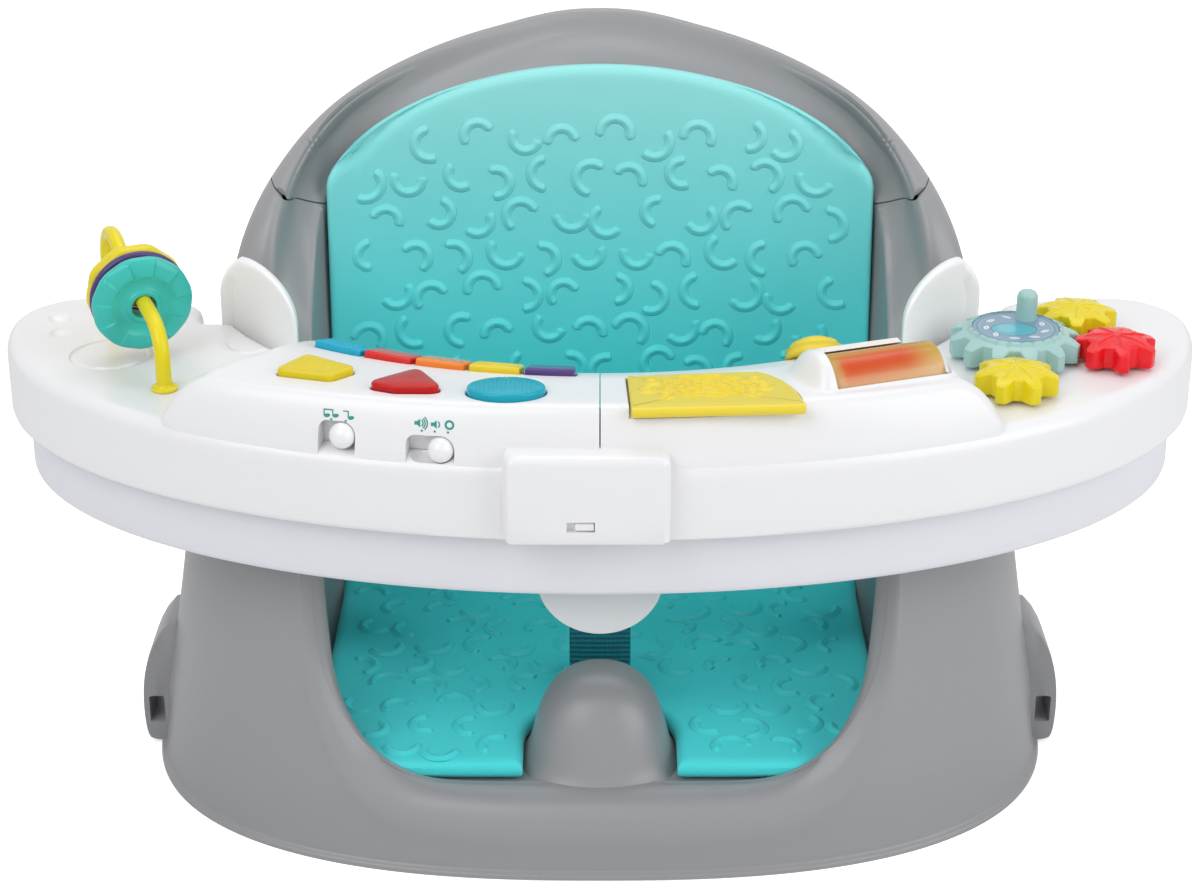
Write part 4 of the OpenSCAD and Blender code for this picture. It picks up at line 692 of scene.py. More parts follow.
# arcs embossed in the foam: short strokes bent to part of a circle, each with a
# bell-shaped cross-section that runs out level with the sheet
ARC_PITCH, ARC_APART, ARC_W, ARC_H, ARC_CLEAR = 20.4, 18.4, 2.65, 1.35, 10.5
row, place = (a.ravel() for a in np.mgrid[:22, -7:8])
spots = np.stack([place * ARC_PITCH + (row % 2 - 0.5) * ARC_PITCH / 2,
                  13 + row * ARC_APART], -1)
pick = np.arange(len(spots))
spots += 2.3 * np.stack([np.sin(pick * 2.399 + 1.3), np.cos(pick * 3.883)], -1)
facing = (pick * 2.399963 * 1.7 + np.sin(pick * 1.7) * 1.3) % (2 * math.pi)
bow = 6.5 + 0.6 * np.sin(pick * 5.1)
sweep = np.radians(205 + 25 * np.sin(pick * 3.3))
# none near an edge, the notch, the crotch strap's slot or the front corners
out, far = np.abs(spots[:, 0]), spots[:, 1]
inside = ((out < LINER_SIDE - 10) & (far < top_far(out) - ARC_CLEAR)
          & (edge_distance(out, far) > ARC_CLEAR)
          & ~((out < NOTCH_SIDE + 11) & (far < NOTCH_FAR + 12))
          & ~((out < 26) & (np.abs(far - 61) < 14))
          & ~((out > SEAT_SIDE - 12) & (far < 60)))
spots, facing, bow, sweep = (a[inside] for a in (spots, facing, bow, sweep))
s = np.linspace(-1, 1, 25)[None, :, None]
w = np.array([-1, -0.72, -0.45, -0.2, 0, 0.2, 0.45, 0.72, 1, 0.5, -0.5])[None, None]
bell = np.array([0, 0.16, 0.52, 0.88, 1, 0.88, 0.52, 0.16, 0, 0, 0])[None, None]
sunk = np.array([0.05] * 9 + [0.5, 0.5])[None, None]
taper = np.sqrt(np.maximum(1 - np.maximum((np.abs(s) - 0.86) / 0.14, 0) ** 2, 0)) + 1e-4
angle = facing[:, None, None] + s * sweep[:, None, None] / 2
radius = bow[:, None, None] + w * ARC_W * taper
arc_x = spots[:, 0, None, None] + radius * np.cos(angle)
arc_far = spots[:, 1, None, None] + radius * np.sin(angle)
arc_h = LINER_T + ARC_H * bell * taper - sunk * np.minimum(taper * 2, 1)
points = lay(arc_x, arc_far, arc_h).reshape(-1, 3)
rows, columns = s.shape[1], w.shape[2]
one = grid_faces(rows, columns, round_columns=True)
many = (one + (np.arange(len(spots)) * rows * columns)[:, None, None]).reshape(-1, 4)
arcs = surface("foam_arcs", points, many[:, ::-1].tolist(), foam_look)
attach(arcs, "seat")
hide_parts("seat_liner")

# ---------------------------------------------------------------------------
# Feeding tray: a shallow white dish with a deep skirt, cut out at the belly
# and notched underneath where it rests on the arms of the seat.
# ---------------------------------------------------------------------------
TRAY_W, RIM_H, BELLY_R, TRAY_WALL = 524.0, 33.0, 187.0, 2.6
TRAY_Y, TRAY_B, BELLY_Y = 16.0, 159.0, 109.0
DECK_Z = 195.0
TRAY_Z = DECK_Z - RIM_H
HORN_X, HORN_Y = 230.0, 49.0
WING_X = BASE_W / 2 - SIDE_DRAFT * (ARM_H + 6) + 2.5
TRAY_STEP, SKIRT_H, PLATE_Z = 7.5, 27.0, ARM_H + 0.3
FEED_TOP = TRAY_Z - 0.3
SKIRT_Z = FEED_TOP - SKIRT_H


def polar(r, f):
    """Plan point at distance r from the belly's centre, facing f in radians."""
    return np.stack([r * np.sin(f), BELLY_Y - r * np.cos(f)], -1)


def tray_line(d, belly, back_end):
    """Outline of a tray drawn in by d, its belly arc ending at y = back_end.

    The front is half an ellipse, each horn ends in a quarter ellipse, and the
    corners between the horn's back edge and the belly arc are rounded.
    """
    a, b = TRAY_W / 2 - d, TRAY_B - d
    t = np.linspace(0, math.pi / 2, 61)
    front = np.stack([a * np.sin(t), TRAY_Y - b * np.cos(t)], -1)
    t = np.linspace(0, math.pi / 2, 17)[1:]
    horn = np.stack([HORN_X + (TRAY_W / 2 - HORN_X - d) * np.cos(t),
                     TRAY_Y + (HORN_Y - TRAY_Y - d) * np.sin(t)], -1)
    back = np.array([[WING_X + 12 + d, HORN_Y - 4 - d], [WING_X + 2 + d, HORN_Y - 9 - d],
                     [WING_X + d, HORN_Y - 18 - d], [WING_X + d, back_end - d + 10],
                     [WING_X - 3 + d, back_end - d + 1]])
    back = soften(np.vstack([horn[-1:], back]), 3, closed=False)
    back = resample(back, 26, closed=False)[1:]
    end = math.acos((BELLY_Y - back_end + d) / belly)
    arc = polar(belly, np.linspace(end, 0, 60))
    right = np.concatenate([front, horn, back, arc[:-1]])
    return np.concatenate([right, [[0, BELLY_Y - belly]], right[:0:-1] * [-1, 1]])


def layered(steps, outline):
    """Rings of points: the outline that each step's first number gives, at its z."""
    lines = [(outline(g), z) for g, z in steps]
    return np.stack([np.column_stack([line, np.full(len(line), z)]) for line, z in lines])


def tray_rings(steps, belly, back_end):
    """Rings of a tray's outline from steps of [draw-in, height]."""
    return layered(steps, lambda d: tray_line(d, belly + d, back_end))


CUT_ANGLE = 35


def carve(piece, *cutters):
    """Takes the cutters' volume out of a piece, and the cutters away."""
    for cutter in cutters:
        cut_by = piece.modifiers.new("cut", "BOOLEAN")
        cut_by.operation, cut_by.solver, cut_by.object = "DIFFERENCE", "EXACT", cutter
    bpy.context.view_layer.update()
    mesh = bpy.data.meshes.new_from_object(
        piece.evaluated_get(bpy.context.evaluated_depsgraph_get()))
    piece.modifiers.clear()
    piece.data = mesh
    mesh.shade_smooth()
    mesh.set_sharp_from_angle(angle=math.radians(CUT_ANGLE))
    for cutter in cutters:
        bpy.data.objects.remove(cutter)


def inset(line, g):
    """A closed outline drawn in by g along its own normals."""
    line = np.asarray(line, float)
    x, y = (np.roll(line, -1, 0) - np.roll(line, 1, 0)).T
    away = np.stack([y, -x], -1)
    return line - g * away / np.linalg.norm(away, axis=1, keepdims=True)


def prism(outline, low, high, at=None, chamfer=0.0, level=0.0):
    """Cutter over an outline between two heights, placed by the function at.

    With a chamfer it widens round the height called level, so the edge of the
    hole that it leaves there is broken.
    """
    steps = [(0, low), (0, level - chamfer), (-chamfer * 1.6, level + 0.6 * chamfer),
             (-chamfer * 1.6, high)] if chamfer else [(0, low), (0, high)]
    rings = layered(steps, lambda g: inset(outline, g))
    return stacked("cutter", at(rings) if at else rings, None)


def soft_white(name, rough=0.3, colour=(0.83, 0.83, 0.845)):
    """Moulded plastic, white or coloured, with a fine satin skin."""
    pale = min(colour) > 0.5
    return grained(name, colour, rough, 700, 0.000007, 0.03,
                   Specular_IOR_Level=0.5 if pale else 0.3,
                   Coat_Weight=0.15 if pale else 0.04, Coat_Roughness=0.18)


white_look = soft_white("white_plastic")
# the lower tray, its catch tongue and lever bosses take a darker, cooler copy of the white
# plastic: painted shade, for lying under the toy tray
feed_shaded_look = soft_white("white_plastic_painted_shade", 0.34, (0.74, 0.745, 0.79))
S, W = TRAY_STEP, TRAY_WALL
feed_layers = [[S + 8.5, PLATE_Z + W], [S + 6.4, PLATE_Z + W + 0.5],
               [S + 5, PLATE_Z + W + 2], [S + W + 1.6, FEED_TOP - 0.6],
               [S + W + 0.9, FEED_TOP - 0.1], [S + W, FEED_TOP],
               [S + 1, FEED_TOP], [S + 0.3, FEED_TOP - 0.4], [S, FEED_TOP - 1.5],
               [S, FEED_TOP - 8], [S, SKIRT_Z + 8], [S, SKIRT_Z + 2.2],
               [S + 0.5, SKIRT_Z + 0.8], [S + 1.3, SKIRT_Z], [S + W - 0.3, SKIRT_Z],
               [S + W, SKIRT_Z + 0.5], [S + W, PLATE_Z - 1.5], [S + W + 1.5, PLATE_Z]]
rings = tray_rings(feed_layers, BELLY_R - 8 - TRAY_STEP, 6)
tray = stacked("feeding_tray_shell", rings, feed_shaded_look)
# room for the arm under each wing, its front cut off at a slant
ARM_ROOM = np.array([[102, -102], [126, -99], [150, -84], [WING_X + 7, -62],
                     [WING_X + 7, 70], [102, 70]])
cutters = [prism(plan, SKIRT_Z - 1, PLATE_Z)
           for plan in ((ARM_ROOM * [-1, 1])[::-1], ARM_ROOM)]
# an ear's thickness, its outer face from the belly's centre, the room beside it
EAR_T, EAR_BACK, EAR_ROOM = 5.6, BELLY_R - 1.3, 3.6


# room for the foot of each ear, along the belly arc
f = np.arcsin(np.linspace(129.5, 165.4, 14) / (BELLY_R - 4))
line = np.concatenate([polar(EAR_BACK + EAR_ROOM, f),
                       polar(EAR_BACK - EAR_T - EAR_ROOM, f)[::-1]])
cutters += [prism(plan, PLATE_Z + W, FEED_TOP + 3)
            for plan in ((line * [-1, 1])[::-1], line)]
carve(tray, *cutters)
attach(tray, "feeding_tray")
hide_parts("feeding_tray")

# Ears: curved white plates that stand on the tray along its belly arc, with a
# round head each, their edges broken.
EAR_X, EAR_R, EAR_TOP, EAR_HORN = 149.2, 19.2, DECK_Z + 30.5, 16.4
# the ears take a brighter copy of the white plastic: painted light, making up for the shade
# the trays and seat cast on them
ear_lit_look = soft_white("white_plastic_painted_brighter", 0.3, (0.92, 0.92, 0.93))
t = np.linspace(0, math.pi, 49)
head_z = EAR_TOP - EAR_R
outline = np.concatenate([
    np.stack([EAR_X + EAR_R * np.cos(t), head_z + EAR_R * np.sin(t)], -1),
    [[EAR_X - EAR_R, DECK_Z], [EAR_X - EAR_R, PLATE_Z + W], [EAR_X + 1, PLATE_Z + W],
     [EAR_X + 1, DECK_Z - 26], [EAR_X + EAR_R, DECK_Z - 7]]])
outline = resample(outline, 220)
# draw-in of the outline and distance behind the outer face, front to back
steps = [(6, 0.0), (2.2, 0.0), (1.0, 0.25), (0.25, 0.9), (0, 1.8), (0, EAR_T - 1.8),
         (0.25, EAR_T - 0.9), (1.0, EAR_T - 0.25), (2.2, EAR_T), (6, EAR_T)]
rings = []
for g, deep in steps:
    x, z = inset(outline, g).T
    x = np.clip(x, EAR_X - EAR_R + g, EAR_X + EAR_R - g)
    y = np.minimum(BELLY_Y - np.sqrt((EAR_BACK - deep) ** 2 - x * x), EAR_HORN + deep)
    rings.append(np.column_stack([x, y, z]))
for side, name in ((-1, "left"), (1, "right")):
    ear = stacked("tray_ear_shell_" + name, np.stack(rings) * [side, 1, 1], ear_lit_look,
                  angle=50)
    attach(ear, "feeding_tray")
    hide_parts("tray_ear_" + name)

# ---------------------------------------------------------------------------
# Toy tray: the upper tray's deep white rim and deck, with rings and dimples
# pressed into its left wing.
# ---------------------------------------------------------------------------
quarter = np.linspace(0, math.pi / 2, 9)
toy_layers = ([[1.2, TRAY_Z], [0.35, TRAY_Z + 0.8], [0, TRAY_Z + 2.5],
               [0, TRAY_Z + 11], [0, DECK_Z - 10]]
              + np.stack([8 * (1 - np.cos(quarter)) ** 1.25,
                          DECK_Z - 8.5 + 8.5 * np.sin(quarter)], -1).tolist())
hollow = [[W + 7, DECK_Z - W], [W, DECK_Z - 11], [W, TRAY_Z + 4], [W + 0.8, TRAY_Z]]
rings = tray_rings(hollow + toy_layers, BELLY_R, 16)
toy_rim = stacked("toy_tray_rim", rings, white_look)
DIMPLE_R, DIMPLE_UP, RING_DEEP = 8, 5.6, 1.08
pressed = []
for x, y, big, small in ((-210, -26, 18, 14.6), (-152, -12, 13, 9.6)):
    a = full_turn(64)[None]
    b = full_turn(12)[:, None]
    r = (big + small) / 2 + (big - small) / 2 * np.cos(b)
    rings = np.stack([x + r * np.cos(a), y + r * np.sin(a),
                      DECK_Z + RING_DEEP * np.sin(b) + 0 * a], -1)
    pressed.append(surface("cutter", rings.reshape(-1, 3),
                           grid_faces(12, 64, True, True)[:, ::-1].tolist(), None))
for x, y in ((-236, 0), (-240, 18)):
    t = np.linspace(0.02, math.pi - 0.02, 14)[:, None]
    a = full_turn(32)[None]
    r = DIMPLE_R * np.sin(t)
    rings = np.stack([x + r * np.cos(a), y + r * np.sin(a),
                      DECK_Z + DIMPLE_UP - DIMPLE_R * np.cos(t) + 0 * a], -1)
    pressed.append(stacked("cutter", rings, None))

# ---------------------------------------------------------------------------
# Consoles: two white housings on the deck that meet at a seam, the music one
# on the left with its keys on a sloping shoulder, the play one on the right.
# ---------------------------------------------------------------------------
CONSOLE_H, TILT, TOP_Y, INNER_R = 21.0, 3.2, -128.0, BELLY_R + 3.5
MUSIC_END, PLAY_END, MIDDLE = 41.5, 38.0, 0.06


def rim_reach(f, d):
    """Distance from the belly's centre to the tray's edge, facing f degrees."""
    f = np.radians(f)
    s, c = np.sin(f) / (TRAY_W / 2 - d), np.cos(f) / (TRAY_B - d)
    q = (BELLY_Y - TRAY_Y) / (TRAY_B - d)
    k = s * s + c * c
    return (c * q + np.sqrt(c * c * q * q - k * (q * q - 1))) / k


def top_z(y):
    """Height of the consoles' tilted top over y."""
    return DECK_Z + CONSOLE_H - math.tan(math.radians(TILT)) * (y - TOP_Y)


# rows up a console's wall: front, belly and end draw-in, share of the height
wall_rows = np.array([[1.4, 0, 0, 0, -7], [2, 0, 0, 0.0, 0], [2.6, 0, 0.3, 0.10, 0],
                      [3.6, 0.2, 1.3, 0.3, 0], [5, 0.6, 2.4, 0.52, 0],
                      [6.6, 1.1, 3.6, 0.70, 0], [7.3, 1.5, 4.3, 0.775, 0],
                      [8, 4, 5, 0.84, 0], [8.7, 8, 5.6, 0.89, 0],
                      [9.6, 12.0, 6.3, 0.94, 0], [10.6, 14.6, 7, 0.972, 0],
                      [12, 17, 7.8, 0.993, 0], [13.6, 19.2, 9, 1, 0]])


def console_rings(side, end, radius, steps=90, fill=3):
    """Rings of a console's outline, one for each row up its wall.

    A ring runs from the seam along the front wall, round the far end and back
    along the belly; its end's corners are drawn in by a quarter round. The
    last rings close over the top to a line along its middle.
    """
    rings = []
    rows = [(row, 0) for row in wall_rows]
    rows += [(wall_rows[-1], s) for s in np.linspace(0, 1, fill + 1)[1:]]
    for (front, belly, draw, share, lift), s in rows:
        last = end - draw / 2.3
        f = MIDDLE + 2.4 * s + (last - MIDDLE - 4.8 * s) * np.linspace(0, 1, steps)
        u = np.clip((last - f) * 2.6 / (radius * 0.52), 0, 1)
        fillet = 1 - np.sqrt(1 - (1 - u) ** 2)
        outer = rim_reach(f, front + radius * fillet)
        inner = INNER_R + belly + radius * fillet * 1.1
        middle, f = (outer + inner) / 2, np.radians(f)
        line = np.concatenate([polar(outer + (middle - outer) * s, f),
                               polar(inner + (middle - inner) * s, f)[::-1]])
        z = DECK_Z + (top_z(line[:, 1]) - DECK_Z) * share + lift
        rings.append(np.column_stack([line * [side, 1], z]))
    return np.stack(rings)


def placed(origin, z_turn=0.0, x_turn=0.0, along_x=False):
    """Function that carries local points to a place turned about Z after X."""
    a, b = np.radians(z_turn), np.radians(x_turn)
    turn = (np.array([[np.cos(a), -np.sin(a), 0], [np.sin(a), np.cos(a), 0], [0, 0, 1]])
            @ np.array([[1, 0, 0], [0, np.cos(b), -np.sin(b)], [0, np.sin(b), np.cos(b)]]))
    if along_x:
        turn = turn @ np.array([[0, 0, 1], [0, 1, 0], [-1, 0, 0]])
    return lambda p: np.asarray(p, float) @ turn.T + origin


# keys: boundaries in degrees from the front, and their places on the shoulder
KEY_EDGES = [35.5, 28.4, 21.8, 15.3, 8.8, 2.6]
KEY_IN, KEY_DEEP, KEY_TILT, KEY_GAP, KEY_H = INNER_R + 3, 13.0, 15.0, 0.5, 3.0
KEY_MID = KEY_IN + KEY_DEEP / 2


def key_place(k):
    """Frame of key k, square to the shoulder."""
    f = (KEY_EDGES[k] + KEY_EDGES[k + 1]) / 2
    y = BELLY_Y - KEY_MID * math.cos(math.radians(f))
    share = 0.76 + 0.18 * (KEY_MID - INNER_R - 1.5) / 11
    z = DECK_Z + (top_z(y) - DECK_Z) * share + 0.2
    return placed([-KEY_MID * math.sin(math.radians(f)), y, z], -f, -KEY_TILT)


def key_outline(k, g):
    """Part of a ring round the belly, drawn in by g, with softened corners."""
    r0, r1 = KEY_IN + g + KEY_GAP, KEY_IN + KEY_DEEP - g - KEY_GAP
    e = (KEY_EDGES[k] - KEY_EDGES[k + 1]) / 2 - math.degrees((g + 0.8) / KEY_MID)
    f = np.radians(np.linspace(e, -e, 14))
    line = np.concatenate([
        np.stack([-r0 * np.sin(f), KEY_MID - r0 * np.cos(f)], -1),
        np.stack([-r1 * np.sin(f[::-1]), KEY_MID - r1 * np.cos(f[::-1])], -1)])
    return resample(soften(line[::-1], 2), 120)


# buttons: their centres in plan, square, triangle and oval
BUTTON_C = [[-114.3, -92], [-77, -109], [-37, -117.4]]


def on_top(x, y):
    """Frame on the console's tilted top."""
    return placed([x, y, top_z(y)], 0, -TILT)


def round_corners(corners, r, n=12):
    """Outline of a polygon with corners of radius r, by arcs between its sides."""
    corners = np.array(corners, float)
    before, after = np.roll(corners, 1, 0) - corners, np.roll(corners, -1, 0) - corners
    before /= np.linalg.norm(before, axis=1, keepdims=True)
    after /= np.linalg.norm(after, axis=1, keepdims=True)
    half_angle = np.arccos(np.clip((before * after).sum(1), -1, 1)) / 2
    back_off = (r / np.tan(half_angle))[:, None]
    start, stop = corners + before * back_off, corners + after * back_off
    t = np.linspace(0, 1, n)[None, :, None]
    arcs = (start[:, None] * (1 - t) ** 2 + 2 * corners[:, None] * t * (1 - t)
            + stop[:, None] * t * t)
    return arcs.reshape(-1, 2)


BUTTONS = [
    resample(round_corners([[-17, -4.6], [6.8, -12.6], [16.6, -1.8], [-5.6, 15.4]], 4), 120),
    resample(round_corners([[-16.4, -3.6], [-4, -9.6], [15.6, -10.0], [4.0, 15]], 4.6), 120),
    circle(1, full_turn(120)) * [15.6, 11.3]]


# switches: x and z of their stops on the front wall, and how far each slides
SWITCH_C, TRAVEL = [[-101, 200.6], [-62, 198]], [4, 8]
SWITCH_TURN, KNOB_R, SLOT_R = [14, 8.5], 5.3, 5.75


def switch_place(w):
    """Frame on the front wall at a slide switch, X along its slot."""
    x, z = SWITCH_C[w]
    y = TRAY_Y - (TRAY_B - 6.4) * math.sqrt(1 - (x / (TRAY_W / 2 - 6.4)) ** 2)
    return placed([x, y, z], -SWITCH_TURN[w], 90)


def slot_outline(w, r):
    """Arched slot of a slide switch: X along it, Y up the wall, open below."""
    t = np.linspace(0, math.pi / 2, 13)
    return np.concatenate([
        [[-TRAVEL[w] - r, -12], [r, -12]], circle(r, t),
        circle(3.6, t + math.pi / 2) + [3.6 - TRAVEL[w] - r, r - 3.6]])


def ball_track(w, r):
    """Cutter for the room that a switch's ball of radius r sweeps on its way."""
    t = np.linspace(-math.pi / 2, math.pi / 2, 25)
    rings = []
    for a in np.linspace(0.03, math.pi - 0.03, 21):
        half = circle(r * math.sin(a), t)
        line = np.concatenate([half, [-TRAVEL[w], 0] - half])
        rings.append(np.column_stack([line, np.full(50, 1.5 + r * math.cos(a))]))
    return stacked("cutter", switch_place(w)(np.stack(rings)), None)


music = stacked("music_console_shell", console_rings(-1, MUSIC_END, 9), white_look,
                lid=False)
holes = [prism(key_outline(k, -KEY_GAP), -9, 20, key_place(k), 0.35) for k in range(5)]
holes += [prism(inset(BUTTONS[b], -KEY_GAP), -9, 20, on_top(*BUTTON_C[b]), 0.4)
          for b in range(3)]
for w in (0, 1):
    low = DECK_Z - SWITCH_C[w][1] - 1
    holes.append(prism(slot_outline(w, SLOT_R), -4.2, 12, switch_place(w)))
    holes.append(prism([[-24, low], [10.6, low], [10.6, 8], [-24, 8]], -7.5, -3.9,
                       switch_place(w)))
carve(music, *holes)
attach(music, "toy_tray")
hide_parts("music_console")
carve(toy_rim, *pressed, *[ball_track(w, SLOT_R) for w in (0, 1)])
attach(toy_rim, "toy_tray")
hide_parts("toy_tray_shell")

# ---------------------------------------------------------------------------
# Keys and buttons: five piano keys and three larger buttons in coloured
# plastic, some with a knurled top, each standing in its hole.
# ---------------------------------------------------------------------------


def capped(name, outline, at, look, height, rows=34, edge=1.3, dome=0.0, knurl=None,
           base=-6.0):
    """Button cap: rings of its outline shrink to the middle over a round edge.

    knurl is a function of x and y that gives the relief of the flat top, which
    fades out towards the edge; dome is how far the middle rises.
    """
    line = np.asarray(outline, float)
    centre = line.mean(0)
    q = np.linspace(0, math.pi / 2, 7)[1:]
    steps = [(0.4, base), (0, base + 0.4), (0, height - edge)]
    steps += [(edge * (1 - np.cos(a)), height - edge + edge * np.sin(a)) for a in q]
    rings = list(layered(steps, lambda g: inset(line, g)))
    last = inset(line, edge)
    for share in 1 - np.linspace(0, 1, rows)[1:-1] ** 0.9:
        flat = centre + (last - centre) * share
        z = height + dome * (1 - share ** 2)
        if knurl:
            z = z + knurl(flat[:, 0], flat[:, 1]) * min((1 - share) * 9, 1)
        rings.append(np.column_stack([flat, z + 0 * flat[:, 0]]))
    rings.append(np.column_stack([centre + (last - centre) * 1e-4,
                                  np.full(len(line), height + dome)]))
    return stacked(name, at(np.stack(rings)), look)


PYRAMID, PYRAMID_H, RIB, RIB_H = 1.9, 0.5, 1.7, 0.45


def pyramids(x, y):
    """Relief of small pyramids: the lower of two crossed triangle waves."""
    a, b = (x + y) / PYRAMID / 1.414, (x - y) / PYRAMID / 1.414
    return PYRAMID_H * (np.minimum(np.abs(a % 1 - 0.5), np.abs(b % 1 - 0.5)) * 2 - 0.5)


def ribs(x, _):
    """Relief of straight round ribs along Y."""
    return RIB_H * (np.abs(np.sin(math.pi * x / RIB)) - 0.6)


def jelly(name, colour, deeper):
    """Glossy tinted plastic, a little see-through, deeper in colour below."""
    look, tree, bsdf = shader(name, colour, 0.16, Specular_IOR_Level=0.22,
                              Coat_Weight=0.06, Coat_Roughness=0.08,
                              Subsurface_Weight=0.25, Subsurface_Scale=0.004)
    grain(tree, bsdf, 260, 0.000008, 0.17, 0.04)
    tinted(tree, bsdf, deeper, colour, 0.204, 0.216, mottle=0.25)
    return look


KEYS = [("blue", (0.015, 0.42, 0.60), (0.008, 0.25, 0.42), pyramids),
        ("red", (0.70, 0.035, 0.03), (0.45, 0.012, 0.012), None),
        ("orange", (0.86, 0.25, 0.035), (0.62, 0.12, 0.015), None),
        ("yellow", (0.80, 0.62, 0.03), (0.62, 0.42, 0.01), pyramids),
        ("purple", (0.10, 0.055, 0.22), (0.05, 0.025, 0.12), None)]
for k, (name, colour, deeper, knurl) in enumerate(KEYS):
    key = capped("key_cap_" + name, key_outline(k, 0), key_place(k),
                 jelly("tinted_" + name, colour, deeper), KEY_H, knurl=knurl, edge=1.1)
    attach(key, "key_" + name)
    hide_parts("key_" + name)

square_look = jelly("tinted_lemon", (0.74, 0.59, 0.014), (0.58, 0.42, 0.006))
triangle_look = jelly("tinted_ruby", (0.52, 0.008, 0.008), (0.30, 0.004, 0.005))
teal_look = jelly("tinted_teal", (0.004, 0.38, 0.50), (0.002, 0.24, 0.36))
for b, (name, look, knurl, dome) in enumerate((
        ("square", square_look, pyramids, 0.0), ("triangle", triangle_look, None, 0.7),
        ("round", teal_look, ribs, 1.9))):
    button = capped("button_cap_" + name, BUTTONS[b], on_top(*BUTTON_C[b]), look,
                    KEY_H, rows=60, dome=dome, knurl=knurl, edge=1.4)
    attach(button, "button_" + name)
    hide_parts("button_" + name)

# ---------------------------------------------------------------------------
# Slide switches: two white ball-headed sliders in slots of the front wall,
# with printed note and loudspeaker signs over their stops.
# ---------------------------------------------------------------------------
knob_look = soft_white("white_knob_plastic", 0.22, (0.86, 0.86, 0.87))
t = np.linspace(0.001, math.pi * 0.72, 26)[:, None]
a = full_turn(48)[None]
r = KNOB_R * np.sin(t)
ball = np.stack([r * np.cos(a), r * np.sin(a), 1.5 + KNOB_R * np.cos(t) + 0 * a], -1)
neck = layered([(2.4, -3.2), (2.4, -5.5)], lambda r: circle(r, a[0]))
for w, name in ((0, "note"), (1, "volume")):
    knob = stacked("switch_knob_" + name, switch_place(w)(
        np.concatenate([ball, neck])[::-1]), knob_look, angle=50)
    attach(knob, name + "_switch")
    # a plate behind the slot closes it, and slides with the knob
    low = DECK_Z + 0.15 - SWITCH_C[w][1]
    back = round_corners([[-15, low], [9, low], [9, 7.2], [-15, 7.2]], 0.8, 6)
    plate = stacked("switch_plate_" + name, switch_place(w)(layered(
        [(0, -7), (0, -6.7), (0, -4.5), (0, -4.2)], lambda g: back)), knob_look, angle=30)
    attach(plate, name + "_switch")
    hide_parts(name + "_switch")

# Printed signs: teal ink on the front wall over the stops, two kinds of note for
# the one switch, a loud and a quiet speaker and an empty ring for the other.
print_look = grained("printed_teal_ink", (0.012, 0.27, 0.22), 0.45, 900, 0.00001, 0.05)


def on_front(p, lift):
    """Points of the front wall from x and the length up the wall from its foot."""
    draw, z = wall_rows[1:, 0], wall_rows[1:, 3] * CONSOLE_H
    up = np.concatenate([[0], np.cumsum(np.hypot(np.diff(draw), np.diff(z)))])
    d = np.interp(p[:, 1], up, draw) - lift
    y = TRAY_Y - (TRAY_B - d) * np.sqrt(1 - (p[:, 0] / (TRAY_W / 2 - d)) ** 2)
    share = np.interp(p[:, 1], up, wall_rows[1:, 3])
    return np.stack([p[:, 0], y, DECK_Z + (top_z(y) - DECK_Z) * share + lift / 2], -1)


def stroke(line, width):
    """Outline of a line drawn with a round-looking pen of the given width."""
    ahead = np.gradient(np.asarray(line, float), axis=0)
    side = ahead[:, ::-1] * [-1, 1] / np.linalg.norm(ahead, axis=1, keepdims=True)
    return np.concatenate([line + side * width / 2, (line - side * width / 2)[::-1]])


def bend(x, s, r, start, end, width):
    """Outline of an arc round x and s, between two angles in degrees."""
    q = np.radians(np.linspace(start, end, 40))
    return stroke(np.stack([x + r * np.cos(q), s + r * np.sin(q)], -1), width)


def printed(name, outlines):
    """Raised ink inside closed outlines on the front wall, each a thin prism."""
    points, faces, n = [], [], 72
    for line in outlines:
        line = resample(line, n)
        area = (line * np.roll(line[:, ::-1], -1, 0) * [1, -1]).sum()
        line = line if area > 0 else line[::-1]
        start = n * len(points)
        points += [on_front(line, -0.4), on_front(line, 0.1)]
        faces += grid_faces(2, n, round_columns=True, start=start).tolist()
        faces += [list(range(start + n - 1, start - 1, -1)),
                  list(range(start + n, start + 2 * n))]
    ink = surface(name, np.concatenate(points), faces, print_look, smooth=False)
    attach(ink, "toy_tray")
    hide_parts("music_console")


def note_head(x, s):
    """Outline of a note's tilted oval head."""
    q = full_turn(40)
    return np.stack([x + 1.25 * np.cos(q), s + 0.78 * np.sin(q) + 0.22 * np.cos(q)], -1)


def box(x0, x1, s0, s1):
    """Outline of an upright rectangle."""
    return np.array([[x0, s0], [x1, s0], [x1, s1], [x0, s1]])


def speaker_sign(x, s, tall):
    """Outline of a loudspeaker: a small box that widens to a cone."""
    return np.array([[x, s - 0.7], [x + 1.1, s - 0.7], [x + 2.3, s - tall],
                     [x + 2.3, s + tall], [x + 1.1, s + 0.7], [x, s + 0.7]])


printed("sign_beamed_notes", [note_head(-107.4, 13.75), note_head(-103.9, 13.95),
                              box(-108.8, -108.35, 13.7, 16.4),
                              box(-105.3, -104.85, 13.9, 16.4),
                              box(-108.8, -104.85, 15.85, 16.4)])
printed("sign_single_note", [note_head(-97.7, 13.6), box(-99.1, -98.6, 13.6, 16.35),
                             box(-100.9, -98.6, 15.85, 16.35)])
printed("sign_loud", [speaker_sign(-72.5, 13.65, 1.7), bend(-70.6, 13.65, 1.5, -52, 52, 0.5),
                      bend(-70.6, 13.65, 2.35, -52, 52, 0.5),
                      bend(-70.6, 13.65, 3.2, -50, 50, 0.5)])
printed("sign_quiet", [speaker_sign(-66, 13.45, 1.6), bend(-64.1, 13.45, 1.5, -50, 50, 0.5)])
printed("sign_ring", [bend(-58.7, 13.5, 1.5, 0, 359.9, 0.85)])
printed("sign_dots", [bend(x, s, 0.24, 0, 359.9, 0.42)
                      for x, s in ((-105.7, 12.35), (-99.9, 12.2), (-69.6, 10.7),
                                   (-64.5, 10.65), (-59.3, 10.6))])

